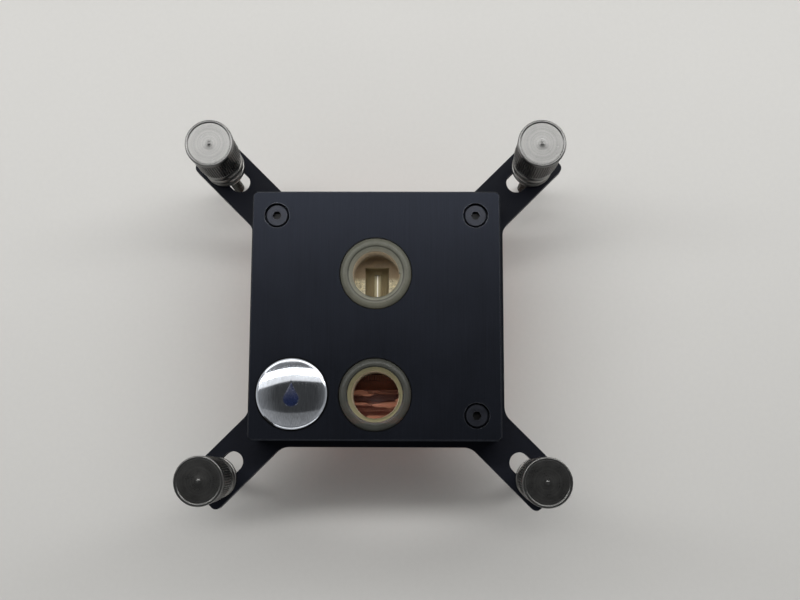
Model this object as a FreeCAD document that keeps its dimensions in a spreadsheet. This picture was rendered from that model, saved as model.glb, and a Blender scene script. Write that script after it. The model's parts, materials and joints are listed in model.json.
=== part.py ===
import FreeCAD, Part
import math
import os
import Sketcher
from types import SimpleNamespace
from FreeCAD import Placement, Rotation, Vector

# A liquid cooling cold plate for a processor: a copper plate with micro-channels, a clear
# manifold with two threaded ports under a black metal cover, and a four-armed bracket that
# carries a sprung thumb nut on a stud in the slot at the end of each arm.
#
# Frame: +X right, +Y to the rear, +Z up, in millimetres. The origin is the centre of the
# copper contact face, which is the lowest face of the part.

doc = FreeCAD.newDocument("liquid_cooling_cold_plate")

# --- Driving dimensions -----------------------------------------------------------------

SIZES = [
    # copper cold plate
    ("base_width", 58.0, "copper plate and manifold, side of the square"),
    ("base_thickness", 4.8, "copper plate, contact face to sealing face"),
    ("base_corner", 3.0, "copper plate, corner radius"),
    ("base_edge_chamfer", 0.4, "copper plate, chamfer round the contact face"),
    ("rim_width", 11.2, "sealing rim of the copper, round the wet pocket on each side"),
    ("pool_depth", 3.0, "wet pocket, depth below the sealing face"),
    ("pool_corner", 2.0, "wet pocket, corner radius"),
    ("fin_field_width", 28.35, "micro-fins, extent across the channels"),
    ("fin_margin", 2.5, "micro-fins, from their ends to the wall of the wet pocket"),
    ("fin_pitch", 0.63, "micro-fins, distance from fin to fin"),
    ("fin_gap", 0.30, "micro-channels, width"),
    # bracket
    ("bracket_margin", 1.6, "bracket body, beyond the cover on each side"),
    ("bracket_thickness", 3.0, "bracket plate"),
    ("bracket_corner", 1.5, "arm ends, corner radius"),
    ("bracket_fillet", 4.5, "fillet between an arm and the body"),
    ("bracket_lap", 2.7, "bracket, over the edge of the copper plate on each side"),
    ("window_corner", 3.0, "bracket window, corner radius"),
    ("arm_width", 11.9, "arm, across"),
    ("arm_end", 5.93, "arm, from the outer stud place to its end"),
    ("slot_width", 5.2, "arm slot, across"),
    ("outer_square", 80.0, "stud square at the slots' outer ends"),
    ("inner_square", 72.0, "stud square at the slots' inner ends"),
    # manifold
    ("plug_clearance", 0.2, "manifold plug to bracket window"),
    ("manifold_clearance", 0.2, "manifold to the cover's walls"),
    ("top_clearance", 0.1, "manifold to the underside of the cover"),
    ("boss_radius", 8.7, "port boss"),
    ("boss_clearance", 0.15, "port boss to its hole in the cover"),
    ("boss_sink", 0.1, "port boss face below the cover face"),
    ("outlet_inset", 9.4, "outlet port, from the front edge of the manifold"),
    ("port_spacing", 29.7, "outlet port to inlet port"),
    ("port_radius", 5.7225, "port bore, the minor radius of a G1/4 thread"),
    ("port_mouth", 6.75, "port bore, radius at the mouth of its chamfer"),
    ("port_depth", 10.1, "port bore, from the boss face to its floor"),
    ("trough_radius", 3.0, "round-bottomed trough in the floor of the inlet"),
    ("trough_length", 7.9, "trough, along Y"),
    ("trough_shift", 0.85, "trough centre, forward of the inlet axis"),
    ("plenum_width", 26.0, "plenum over the jet plate, along X"),
    ("plenum_front", 1.5, "plenum, forward of the jet slot"),
    ("plenum_rear", 1.7, "plenum, to the rear of the inlet axis"),
    ("plenum_overlap", 0.1, "plenum roof above the bottom of the trough"),
    ("drain_width", 13.0, "passage from the pool to the outlet, along X"),
    ("drain_length", 4.1, "passage from the pool to the outlet, along Y"),
    ("drain_shift", 1.6, "passage, front edge to the rear of the outlet axis"),
    ("seal_lap", 2.0, "O-ring, its centre line outside the wet pocket"),
    ("seal_corner", 4.0, "O-ring, corner radius of its centre line"),
    ("seal_section", 1.9, "O-ring, width when squeezed"),
    ("seal_squeeze", 1.2, "O-ring, height when squeezed"),
    ("seal_bevel", 0.3, "O-ring, bevel that stands for the rounding of its squeezed section"),
    # jet plate
    ("jet_plate_width", 30.0, "jet plate, along X"),
    ("jet_plate_length", 25.0, "jet plate, along Y"),
    ("jet_plate_thickness", 0.8, "jet plate"),
    ("jet_plate_clearance", 0.1, "jet plate to its recess"),
    ("jet_slot_length", 25.0, "jet slot, along X"),
    ("jet_slot_width", 0.9, "jet slot, along Y"),
    # cover
    ("cover_height", 11.7, "cover, bracket face to top face"),
    ("cover_top", 3.5, "cover, thickness of the top"),
    ("cover_wall", 1.5, "cover, thickness of the walls"),
    ("cover_corner", 1.3, "cover, corner radius"),
    ("cover_chamfer", 0.3, "cover, bright chamfer round the top face"),
    # badge
    ("badge_inset_x", 10.6, "badge centre, from the left edge of the cover"),
    ("badge_inset_y", 11.2, "badge centre, from the front edge of the cover"),
    ("badge_radius", 8.6, "badge"),
    ("badge_rim", 1.1, "badge, height of the side"),
    ("badge_crown", 1.0, "badge, rise of the dome over the side"),
    ("badge_clearance", 0.15, "badge to its recess"),
    ("badge_seat", 0.2, "badge recess, depth, filled by the adhesive pad"),
    ("drop_radius", 2.1, "drop recess on the badge, radius of its round end"),
    ("drop_height", 4.6, "drop recess, from the round end's centre to the tip"),
    ("drop_depth", 0.5, "drop recess, depth below the crown"),
    # cover screws and base screws
    ("screw_inset", 6.1, "cover screws, from the edges of the cover"),
    ("screw_radius", 1.5, "M3 thread"),
    ("screw_clearance", 0.05, "M3 thread to its hole"),
    ("screw_length", 8.0, "cover screw, under the head"),
    ("head_radius", 2.75, "cover screw head"),
    ("head_height", 2.0, "cover screw head"),
    ("head_chamfer", 0.25, "cover screw head, edge chamfer"),
    ("counterbore_radius", 3.12, "counterbore in the cover"),
    ("counterbore_depth", 2.3, "counterbore in the cover"),
    ("socket_width", 2.0, "hex socket, across flats"),
    ("socket_depth", 1.1, "hex socket"),
    ("base_screw_inset", 5.8, "base screws, from the edge of the copper plate"),
    ("base_screw_offset", 12.0, "base screws, either side of the middle of each side"),
    ("base_screw_length", 10.0, "base screw, overall"),
    ("base_head_radius", 2.8, "base screw, countersunk head"),
    ("base_head_sink", 0.3, "base screw head below the contact face"),
    # studs, sprung feet and thumb nuts
    ("stud_radius", 1.5, "stud, its M3 thread below the arm"),
    ("stud_thread", 18.2, "stud, length of the thread below the arm"),
    ("shank_radius", 1.34, "stud, shank and upper end, the pitch radius of M3"),
    ("stud_drop", 14.8, "stud tip below the contact plane, to reach a back plate"),
    ("stud_tip_radius", 0.95, "stud, radius of its tapered tip"),
    ("stud_taper", 1.2, "stud, length of its tapered tip"),
    ("stud_end_gap", 0.4, "stud, its top end below the end of the nut's bore"),
    ("foot_radius", 5.2, "foot, flange and ring"),
    ("foot_flange", 1.6, "foot, height of the flange on the arm"),
    ("foot_groove", 1.2, "foot, height of the groove over the flange"),
    ("foot_ring", 2.7, "foot, height of the ring over the groove"),
    ("foot_waist", 4.6, "foot, radius in the groove"),
    ("foot_bevel", 0.35, "foot, bevel of its rims"),
    ("foot_clearance", 0.15, "foot bore to the stud's thread, which has to pass through it"),
    ("neck_radius", 4.3, "foot, neck that slides in the thumb nut"),
    ("neck_insertion", 2.0, "foot, neck inside the thumb nut"),
    ("neck_clearance", 0.05, "foot neck to the thumb nut"),
    ("spring_stroke", 1.3, "gap between foot and thumb nut, which closes as the nut is tightened"),
    ("spring_wire", 0.9, "spring wire, diameter"),
    ("spring_radius", 3.3, "spring, radius of the coil's centre line"),
    ("spring_height", 7.0, "spring, between its ground ends"),
    ("spring_pitch", 1.9, "spring, from turn to turn"),
    ("spring_gap", 0.05, "spring to the roof of the thumb nut's chamber"),
    ("nut_clearance", 0.05, "thumb nut bore to the stud"),
    ("bore_length", 4.4, "thumb nut bore, above the spring chamber"),
    ("nut_collar", 3.0, "thumb nut, plain collar"),
    ("collar_radius", 5.35, "thumb nut, plain collar"),
    ("undercut_radius", 4.95, "thumb nut, undercut below the cap"),
    ("undercut_height", 0.4, "thumb nut, undercut below the cap"),
    ("nut_knurl", 10.0, "thumb nut, knurled grip"),
    ("knurl_radius", 5.6, "thumb nut, knurled grip"),
    ("knurl_depth", 0.3, "thumb nut, depth of the knurl"),
    ("knurl_count", 48, "thumb nut, ridges round the grip"),
    ("cap_height", 1.6, "thumb nut, cap"),
    ("cap_radius", 5.8, "thumb nut, cap"),
    ("cap_chamfer", 0.35, "thumb nut, chamfer of the cap"),
]

CORNERS = {
    "rear_left": (-1, 1),
    "rear_right": (1, 1),
    "front_left": (-1, -1),
    "front_right": (1, -1),
}

# The share of the grip's circumference that the V-shaped cuts take away.
KNURL_SHARE = 0.8

# The springs' steps in each turn, and the sides of their wire.
SPRING_STEPS = 14
WIRE_SIDES = 6


class Size:
    """A length worked out from the sheet: its number now, and the expression that binds to it."""

    def __init__(self, number, text):
        self.number = number
        self.text = text

    def join(self, sign, other, number):
        other_text = other.text if isinstance(other, Size) else repr(float(other))
        return Size(number, f"({self.text} {sign} {other_text})")

    def __add__(self, other):
        return self.join("+", other, self.number + number_of(other))

    def __sub__(self, other):
        return self.join("-", other, self.number - number_of(other))

    def __mul__(self, other):
        return self.join("*", other, self.number * number_of(other))

    def __truediv__(self, other):
        return self.join("/", other, self.number / number_of(other))

    def __neg__(self):
        return Size(-self.number, f"(-1 * {self.text})")

    def whole(self):
        return Size(math.floor(self.number), f"floor({self.text})")


def number_of(length):
    return length.number if isinstance(length, Size) else float(length)


def make_sheet():
    """Write every driving dimension to the sheet and give its cell an alias."""
    sheet = doc.addObject("Spreadsheet::Sheet", "sizes")
    for row, (name, number, note) in enumerate(SIZES, start=1):
        sheet.set(f"A{row}", name)
        sheet.set(f"B{row}", str(number))
        sheet.set(f"C{row}", note)
        sheet.setAlias(f"B{row}", name)
    doc.recompute()
    return SimpleNamespace(**{name: Size(float(sheet.get(name)), f"sizes.{name}") for name, _, _ in SIZES})


s = make_sheet()

# --- Levels and places that several pieces share ------------------------------------------

bracket_low = s.base_thickness
bracket_high = bracket_low + s.bracket_thickness
cover_high = bracket_high + s.cover_height
cover_under = cover_high - s.cover_top
manifold_high = cover_under - s.top_clearance
boss_high = cover_high - s.boss_sink
port_floor = boss_high - s.port_depth
trough_low = port_floor - s.trough_radius
plenum_high = trough_low + s.plenum_overlap
counterbore_low = cover_high - s.counterbore_depth
cover_width = s.base_width + (s.manifold_clearance + s.cover_wall) * 2
bracket_width = cover_width + s.bracket_margin * 2
window_width = s.base_width - s.bracket_lap * 2
pool_width = s.base_width - s.rim_width * 2
fin_length = pool_width - s.fin_margin * 2
arm_reach = s.outer_square * math.sqrt(0.5) + s.arm_end
outlet_y = s.outlet_inset - s.base_width / 2
inlet_y = outlet_y + s.port_spacing
screw_place = cover_width / 2 - s.screw_inset
badge_x = s.badge_inset_x - cover_width / 2
badge_y = s.badge_inset_y - cover_width / 2
foot_high = bracket_high + s.foot_flange + s.foot_groove + s.foot_ring
nut_low = foot_high + s.spring_stroke
neck_high = nut_low + s.neck_insertion
chamber_high = neck_high + s.spring_height + s.spring_gap
bore_high = chamber_high + s.bore_length
stud_place = s.outer_square / 2


# --- Tools for sketches and features --------------------------------------------------------

def bind(target, path, length):
    """Tie a property of a feature to the sheet, or set it where it is a plain number."""
    if isinstance(length, Size):
        target.setExpression(path, length.text)
    else:
        target.setExpression(path, repr(float(length)))


def place(target, x=0.0, y=0.0, z=0.0, path="Placement"):
    for axis, length in (("x", x), ("y", y), ("z", z)):
        bind(target, f"{path}.Base.{axis}", length)


def new_body(label, x=0.0, y=0.0, z=0.0):
    body = doc.addObject("PartDesign::Body", label)
    body.Label = label
    place(body, x, y, z)
    return body


def origin_plane(body, role):
    return next(plane for plane in body.Origin.OriginFeatures if plane.Role == role)


def new_sketch(body, name, x=0.0, y=0.0, z=0.0, turn=0.0, plane="XY_Plane"):
    """A sketch on one of the body's own planes, moved by x, y and z in that plane's axes."""
    sketch = body.newObject("Sketcher::SketchObject", name)
    sketch.AttachmentSupport = (origin_plane(body, plane), [""])
    sketch.MapMode = "FlatFace"
    sketch.AttachmentOffset = Placement(Vector(), Rotation(Vector(0, 0, 1), turn))
    place(sketch, x, y, z, "AttachmentOffset")
    return sketch


def constrain(sketch, kind, *arguments):
    """Add a constraint; a last argument that is a Size binds its value to the sheet."""
    size = arguments[-1] if isinstance(arguments[-1], Size) else None
    if size is not None:
        arguments = arguments[:-1] + (size.number,)
    index = sketch.addConstraint(Sketcher.Constraint(kind, *arguments))
    if size is not None:
        sketch.setExpression(f"Constraints[{index}]", size.text)


def line(x0, y0, x1, y1):
    return Part.LineSegment(Vector(x0, y0, 0), Vector(x1, y1, 0))


def corner_arc(x, y, radius, start):
    circle = Part.Circle(Vector(x, y, 0), Vector(0, 0, 1), radius)
    return Part.ArcOfCircle(circle, math.radians(start), math.radians(start + 90))


def draw_circle(sketch, radius):
    circle = Part.Circle(Vector(), Vector(0, 0, 1), radius.number)
    index = sketch.addGeometry(circle, False)
    constrain(sketch, "Coincident", index, 3, -1, 1)
    constrain(sketch, "Radius", index, radius)


def draw_rectangle(sketch, width, depth):
    """A rectangle centred on the sketch's origin."""
    half_x, half_y = width.number / 2, depth.number / 2
    corners = [(-half_x, -half_y), (half_x, -half_y), (half_x, half_y), (-half_x, half_y)]
    sides = [sketch.addGeometry(line(*corners[i], *corners[(i + 1) % 4]), False) for i in range(4)]
    for i, side in enumerate(sides):
        constrain(sketch, "Coincident", side, 2, sides[(i + 1) % 4], 1)
        constrain(sketch, "Horizontal" if i % 2 == 0 else "Vertical", side)
    constrain(sketch, "DistanceX", sides[0], 1, sides[0], 2, width)
    constrain(sketch, "DistanceY", sides[1], 1, sides[1], 2, depth)
    constrain(sketch, "Symmetric", sides[0], 1, sides[2], 1, -1, 1)


def draw_rounded_rectangle(sketch, width, depth, radius):
    """A rectangle with round corners, centred on the sketch's origin."""
    r = radius.number
    half_x, half_y = width.number / 2, depth.number / 2
    sides = [
        line(-half_x + r, -half_y, half_x - r, -half_y),
        line(half_x, -half_y + r, half_x, half_y - r),
        line(half_x - r, half_y, -half_x + r, half_y),
        line(-half_x, half_y - r, -half_x, -half_y + r),
    ]
    arcs = [
        corner_arc(half_x - r, -half_y + r, r, -90),
        corner_arc(half_x - r, half_y - r, r, 0),
        corner_arc(-half_x + r, half_y - r, r, 90),
        corner_arc(-half_x + r, -half_y + r, r, 180),
    ]
    side_index = [sketch.addGeometry(side, False) for side in sides]
    arc_index = [sketch.addGeometry(arc, False) for arc in arcs]
    for i in range(4):
        constrain(sketch, "Tangent", side_index[i], 2, arc_index[i], 1)
        constrain(sketch, "Tangent", arc_index[i], 2, side_index[(i + 1) % 4], 1)
    for i in range(3):
        constrain(sketch, "Equal", arc_index[i], arc_index[i + 1])
    constrain(sketch, "Horizontal", side_index[0])
    constrain(sketch, "Vertical", side_index[1])
    constrain(sketch, "Horizontal", side_index[2])
    constrain(sketch, "Vertical", side_index[3])
    constrain(sketch, "Radius", arc_index[0], radius)
    constrain(sketch, "DistanceX", side_index[3], 1, side_index[1], 1, width)
    constrain(sketch, "DistanceY", side_index[0], 1, side_index[2], 1, depth)
    constrain(sketch, "Symmetric", arc_index[0], 3, arc_index[2], 3, -1, 1)


def draw_slot(sketch, travel, radius):
    """A slot along the sketch's X, centred on its origin, with round ends travel apart."""
    half, r = travel.number / 2, radius.number
    right = Part.ArcOfCircle(Part.Circle(Vector(half, 0, 0), Vector(0, 0, 1), r), -math.pi / 2, math.pi / 2)
    left = Part.ArcOfCircle(Part.Circle(Vector(-half, 0, 0), Vector(0, 0, 1), r), math.pi / 2, 1.5 * math.pi)
    low = sketch.addGeometry(line(-half, -r, half, -r), False)
    right_end = sketch.addGeometry(right, False)
    high = sketch.addGeometry(line(half, r, -half, r), False)
    left_end = sketch.addGeometry(left, False)
    constrain(sketch, "Tangent", low, 2, right_end, 1)
    constrain(sketch, "Tangent", right_end, 2, high, 1)
    constrain(sketch, "Tangent", high, 2, left_end, 1)
    constrain(sketch, "Tangent", left_end, 2, low, 1)
    constrain(sketch, "Horizontal", low)
    constrain(sketch, "Radius", right_end, radius)
    constrain(sketch, "DistanceX", left_end, 3, right_end, 3, travel)
    constrain(sketch, "Symmetric", left_end, 3, right_end, 3, -1, 1)


def draw_profile(sketch, points):
    """A closed outline of straight lines; each corner is held at its own distances from the origin."""
    count = len(points)
    spots = [(number_of(x), number_of(y)) for x, y in points]
    sides = [sketch.addGeometry(line(*spots[i], *spots[(i + 1) % count]), False) for i in range(count)]
    for i in range(count):
        constrain(sketch, "Coincident", sides[i], 2, sides[(i + 1) % count], 1)
    for side, (x, y) in zip(sides, points):
        for kind, axis, length in (("DistanceX", -2, x), ("DistanceY", -1, y)):
            if isinstance(length, Size):
                constrain(sketch, kind, -1, 1, side, 1, length)
            else:
                constrain(sketch, "PointOnObject", side, 1, axis)


def pad(body, sketch, length):
    feature = body.newObject("PartDesign::Pad", sketch.Name + "_pad")
    feature.Profile = sketch
    bind(feature, "Length", length)
    return feature


def pocket(body, sketch, depth):
    """Cut down from the sketch, towards -Z."""
    feature = body.newObject("PartDesign::Pocket", sketch.Name + "_cut")
    feature.Profile = sketch
    bind(feature, "Length", depth)
    return feature


def revolve(body, sketch, kind="PartDesign::Revolution"):
    """Turn a sketch on the XZ plane about the body's own Z axis."""
    feature = body.newObject(kind, sketch.Name + "_turned")
    feature.Profile = sketch
    feature.ReferenceAxis = (sketch, ["V_Axis"])
    feature.Angle = 360
    return feature


def polar(body, feature, sketch, count):
    pattern = body.newObject("PartDesign::PolarPattern", feature.Name + "_ring")
    pattern.Originals = [feature]
    pattern.Axis = (sketch, ["N_Axis"])
    pattern.Angle = 360
    bind(pattern, "Occurrences", count)
    body.Tip = pattern
    return pattern


def edge_names(shape, wanted):
    return [f"Edge{i}" for i, edge in enumerate(shape.Edges, start=1) if wanted(edge)]


def close_to(a, b, tolerance=1e-4):
    return abs(a - b) < tolerance


def lies_flat_at(edge, height):
    box = edge.BoundBox
    return close_to(box.ZMin, height) and close_to(box.ZMax, height)


def chamfer(body, base, size, wanted):
    """Chamfer the edges of the feature that the test picks out."""
    doc.recompute()
    feature = body.newObject("PartDesign::Chamfer", base.Name + "_chamfer")
    feature.Base = (base, edge_names(base.Shape, wanted))
    bind(feature, "Size", size)
    return feature


def fillet(body, base, radius, wanted):
    """Round the edges of the feature that the test picks out."""
    doc.recompute()
    feature = body.newObject("PartDesign::Fillet", base.Name + "_fillet")
    feature.Base = (base, edge_names(base.Shape, wanted))
    bind(feature, "Radius", radius)
    return feature


def is_upright(edge):
    box = edge.BoundBox
    return close_to(box.XLength, 0) and close_to(box.YLength, 0) and box.ZLength > 0


def drill(body, name, x, y, top, radius, depth):
    """A plain round hole, down from the level top."""
    sketch = new_sketch(body, name, x, y, top)
    draw_circle(sketch, radius)
    return pocket(body, sketch, depth)


# --- The copper cold plate --------------------------------------------------------------------

def base_screw_places():
    """Two screws near each side of the plate, either side of its middle."""
    line_out, offset = s.base_width / 2 - s.base_screw_inset, s.base_screw_offset
    along_x = [(offset * i, line_out * j) for j in (1, -1) for i in (-1, 1)]
    along_y = [(line_out * i, offset * j) for i in (-1, 1) for j in (1, -1)]
    return along_x + along_y


def make_cold_plate():
    body = new_body("cold_plate")
    outline = new_sketch(body, "copper_outline")
    draw_rounded_rectangle(outline, s.base_width, s.base_width, s.base_corner)
    slab = pad(body, outline, s.base_thickness)
    chamfer(body, slab, s.base_edge_chamfer, lambda edge: lies_flat_at(edge, 0))

    # The pool is a ring-shaped pocket round the block that the channels are then sawn into.
    pool = new_sketch(body, "pool", z=s.base_thickness)
    draw_rounded_rectangle(pool, pool_width, pool_width, s.pool_corner)
    draw_rectangle(pool, s.fin_field_width, fin_length)
    pocket(body, pool, s.pool_depth)

    channel_count = (s.fin_field_width / s.fin_pitch).whole()
    first_channel = s.fin_pitch * (channel_count - 1) / -2
    channel = new_sketch(body, "channel", x=first_channel, z=s.base_thickness)
    draw_rectangle(channel, s.fin_gap, fin_length + s.fin_gap)
    saw_cut = pocket(body, channel, s.pool_depth)
    channels = body.newObject("PartDesign::LinearPattern", "channels")
    channels.Originals = [saw_cut]
    channels.Direction = (channel, ["H_Axis"])
    bind(channels, "Length", s.fin_pitch * (channel_count - 1))
    bind(channels, "Occurrences", channel_count)
    body.Tip = channels

    for i, (x, y) in enumerate(base_screw_places(), start=1):
        hole_radius = s.screw_radius + s.screw_clearance
        drill(body, f"base_hole_{i}", x, y, s.base_thickness, hole_radius, s.base_thickness)
        sink = new_sketch(body, f"countersink_{i}", x, 0.0, -y, plane="XZ_Plane")
        seat_high = s.base_head_sink + s.base_head_radius - hole_radius
        draw_profile(sink, [
            (0, 0),
            (s.base_head_radius, 0),
            (s.base_head_radius, s.base_head_sink),
            (hole_radius, seat_high),
            (0, seat_high),
        ])
        revolve(body, sink, "PartDesign::Groove")
    return body


# --- The bracket --------------------------------------------------------------------------------

def make_bracket():
    body = new_body("mounting_bracket", z=bracket_low)
    outline = new_sketch(body, "bracket_square")
    draw_rectangle(outline, bracket_width, bracket_width)
    pad(body, outline, s.bracket_thickness)
    for turn in (45, -45):
        arms = new_sketch(body, f"arms_{turn + 90}", turn=turn)
        draw_rectangle(arms, arm_reach * 2, s.arm_width)
        crossed = pad(body, arms, s.bracket_thickness)

    # An arm's side meets the body's side at a concave corner; the other corners are arm ends.
    half = bracket_width.number / 2
    meeting = half - s.arm_width.number * math.sqrt(0.5)

    def is_concave(edge):
        x, y = abs(edge.BoundBox.Center.x), abs(edge.BoundBox.Center.y)
        return is_upright(edge) and close_to(max(x, y), half) and close_to(min(x, y), meeting)

    def is_arm_end(edge):
        x, y = abs(edge.BoundBox.Center.x), abs(edge.BoundBox.Center.y)
        return is_upright(edge) and close_to((x + y) * math.sqrt(0.5), arm_reach.number)

    inside = fillet(body, crossed, s.bracket_fillet, is_concave)
    fillet(body, inside, s.bracket_corner, is_arm_end)

    window = new_sketch(body, "window", z=s.bracket_thickness)
    draw_rounded_rectangle(window, window_width, window_width, s.window_corner)
    pocket(body, window, s.bracket_thickness)

    slot_middle = (s.outer_square + s.inner_square) / 4
    slot = new_sketch(body, "arm_slot", slot_middle, slot_middle, s.bracket_thickness, 45)
    draw_slot(slot, (s.outer_square - s.inner_square) * math.sqrt(0.5), s.slot_width / 2)
    slot_cut = pocket(body, slot, s.bracket_thickness)
    polar(body, slot_cut, window, 4)
    return body


# --- The manifold and what seals and feeds it ---------------------------------------------------

def make_manifold():
    body = new_body("manifold")
    plug_width = window_width - s.plug_clearance * 2
    plug = new_sketch(body, "plug", z=s.base_thickness)
    draw_rounded_rectangle(plug, plug_width, plug_width, s.window_corner - s.plug_clearance)
    pad(body, plug, s.bracket_thickness)

    block = new_sketch(body, "block", z=bracket_high)
    draw_rounded_rectangle(block, s.base_width, s.base_width, s.cover_corner)
    pad(body, block, manifold_high - bracket_high)

    for name, y in (("inlet", inlet_y), ("outlet", outlet_y)):
        boss = new_sketch(body, f"{name}_boss", y=y, z=manifold_high)
        draw_circle(boss, s.boss_radius)
        pad(body, boss, boss_high - manifold_high)
    for name, y in (("inlet", inlet_y), ("outlet", outlet_y)):
        bored = drill(body, f"{name}_bore", 0.0, y, boss_high, s.port_radius, s.port_depth)

    def is_port_rim(edge):
        top = lies_flat_at(edge, boss_high.number)
        return top and close_to(edge.BoundBox.XLength, s.port_radius.number * 2, 1e-3)

    chamfer(body, bored, s.port_mouth - s.port_radius, is_port_rim)

    # Inlet: a trough in the port's floor breaks through into the plenum over the jet plate.
    trough_front = inlet_y - s.trough_shift - s.trough_length / 2
    trough = new_sketch(body, "trough", 0.0, port_floor, -trough_front, plane="XZ_Plane")
    draw_circle(trough, s.trough_radius)
    pocket(body, trough, s.trough_length)
    plenum_back = inlet_y + s.plenum_rear
    plenum_y = (plenum_back - s.plenum_front) / 2
    recess_high = s.base_thickness + s.jet_plate_thickness
    plenum = new_sketch(body, "plenum", y=plenum_y, z=plenum_high)
    draw_rectangle(plenum, s.plenum_width, plenum_back + s.plenum_front)
    pocket(body, plenum, plenum_high - recess_high)
    recess = new_sketch(body, "jet_plate_recess", z=recess_high)
    around = s.jet_plate_clearance * 2
    draw_rectangle(recess, s.jet_plate_width + around, s.jet_plate_length + around)
    pocket(body, recess, s.jet_plate_thickness)

    # Outlet: a passage from the pool up to the port's floor.
    drain = new_sketch(body, "drain", y=outlet_y + s.drain_shift + s.drain_length / 2, z=port_floor)
    draw_rectangle(drain, s.drain_width, s.drain_length)
    pocket(body, drain, port_floor - s.base_thickness)

    groove = new_sketch(body, "seal_groove", z=s.base_thickness + s.seal_squeeze)
    draw_seal_outline(groove)
    pocket(body, groove, s.seal_squeeze)

    hole_radius = s.screw_radius + s.screw_clearance
    for i, (x, y) in enumerate(cover_screw_places(), start=1):
        depth = s.screw_length - (counterbore_low - manifold_high)
        drill(body, f"cover_screw_hole_{i}", x, y, manifold_high, hole_radius, depth)
    for i, (x, y) in enumerate(base_screw_places(), start=1):
        top = s.base_head_sink + s.base_screw_length
        drill(body, f"base_screw_hole_{i}", x, y, top, hole_radius, top - s.base_thickness)
    return body


def draw_seal_outline(sketch):
    """The inside and the outside of the O-ring's path."""
    for side in (-1, 1):
        width = pool_width + s.seal_lap * 2 + s.seal_section * side
        draw_rounded_rectangle(sketch, width, width, s.seal_corner + s.seal_section * (side / 2))


def make_o_ring():
    body = new_body("o_ring", z=s.base_thickness)
    path = new_sketch(body, "seal_path")
    draw_seal_outline(path)
    ring = pad(body, path, s.seal_squeeze)
    chamfer(body, ring, s.seal_bevel, lambda edge: not is_upright(edge))
    return body


def make_jet_plate():
    body = new_body("jet_plate", z=s.base_thickness)
    plate = new_sketch(body, "jet_plate_outline")
    draw_rectangle(plate, s.jet_plate_width, s.jet_plate_length)
    draw_slot(plate, s.jet_slot_length - s.jet_slot_width, s.jet_slot_width / 2)
    pad(body, plate, s.jet_plate_thickness)
    return body


# --- The cover, its badge and its screws ----------------------------------------------------------

def cover_screw_places():
    """Three screws stand at the corners; the fourth is under the badge."""
    out = screw_place
    return [(-out, out), (out, out), (out, -out), (badge_x, badge_y)]


def make_cover():
    body = new_body("top_cover")
    outline = new_sketch(body, "cover_outline", z=bracket_high)
    draw_rounded_rectangle(outline, cover_width, cover_width, s.cover_corner)
    cap = pad(body, outline, s.cover_height)
    chamfer(body, cap, s.cover_chamfer, lambda edge: lies_flat_at(edge, cover_high.number))

    inside_width = cover_width - s.cover_wall * 2
    inside = new_sketch(body, "cover_inside", z=cover_under)
    draw_rounded_rectangle(inside, inside_width, inside_width, s.cover_corner + s.manifold_clearance)
    pocket(body, inside, cover_under - bracket_high)

    for name, y in (("inlet", inlet_y), ("outlet", outlet_y)):
        radius = s.boss_radius + s.boss_clearance
        drill(body, f"{name}_hole", 0.0, y, cover_high, radius, s.cover_top)
    seat_radius = s.badge_radius + s.badge_clearance
    drill(body, "badge_recess", badge_x, badge_y, cover_high, seat_radius, s.badge_seat)
    for i, (x, y) in enumerate(cover_screw_places(), start=1):
        drill(body, f"counterbore_{i}", x, y, cover_high, s.counterbore_radius, s.counterbore_depth)
        hole_radius = s.screw_radius + s.screw_clearance
        drill(body, f"cover_hole_{i}", x, y, cover_high, hole_radius, s.cover_top)
    return body


def make_badge():
    """A domed disc: the crown is an arc from the edge of the side to the axis."""
    body = new_body("badge", badge_x, badge_y, cover_high)
    profile = new_sketch(body, "badge_profile", plane="XZ_Plane")
    radius, rim, crown = s.badge_radius, s.badge_rim, s.badge_crown
    dome = (radius * radius + crown * crown) / (crown * 2)
    top = rim + crown
    centre = Vector(0, (top - dome).number, 0)
    edge_angle = math.asin((dome.number - crown.number) / dome.number)
    arc = Part.ArcOfCircle(Part.Circle(centre, Vector(0, 0, 1), dome.number), edge_angle, math.pi / 2)
    floor = profile.addGeometry(line(0, 0, radius.number, 0), False)
    side = profile.addGeometry(line(radius.number, 0, radius.number, rim.number), False)
    crown_arc = profile.addGeometry(arc, False)
    axis = profile.addGeometry(line(0, top.number, 0, 0), False)
    constrain(profile, "Coincident", floor, 2, side, 1)
    constrain(profile, "Coincident", side, 2, crown_arc, 1)
    constrain(profile, "Coincident", crown_arc, 2, axis, 1)
    constrain(profile, "Coincident", axis, 2, floor, 1)
    constrain(profile, "Coincident", floor, 1, -1, 1)
    constrain(profile, "Horizontal", floor)
    constrain(profile, "Vertical", side)
    constrain(profile, "Vertical", axis)
    constrain(profile, "PointOnObject", crown_arc, 3, -2)
    constrain(profile, "DistanceX", floor, 1, floor, 2, radius)
    constrain(profile, "DistanceY", side, 1, side, 2, rim)
    constrain(profile, "DistanceY", axis, 2, axis, 1, top)
    revolve(body, profile)

    drop = new_sketch(body, "drop", y=-(s.drop_height - s.drop_radius) / 2, z=top)
    draw_drop(drop, s.drop_radius, s.drop_height)
    pocket(body, drop, s.drop_depth)
    return body


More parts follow.
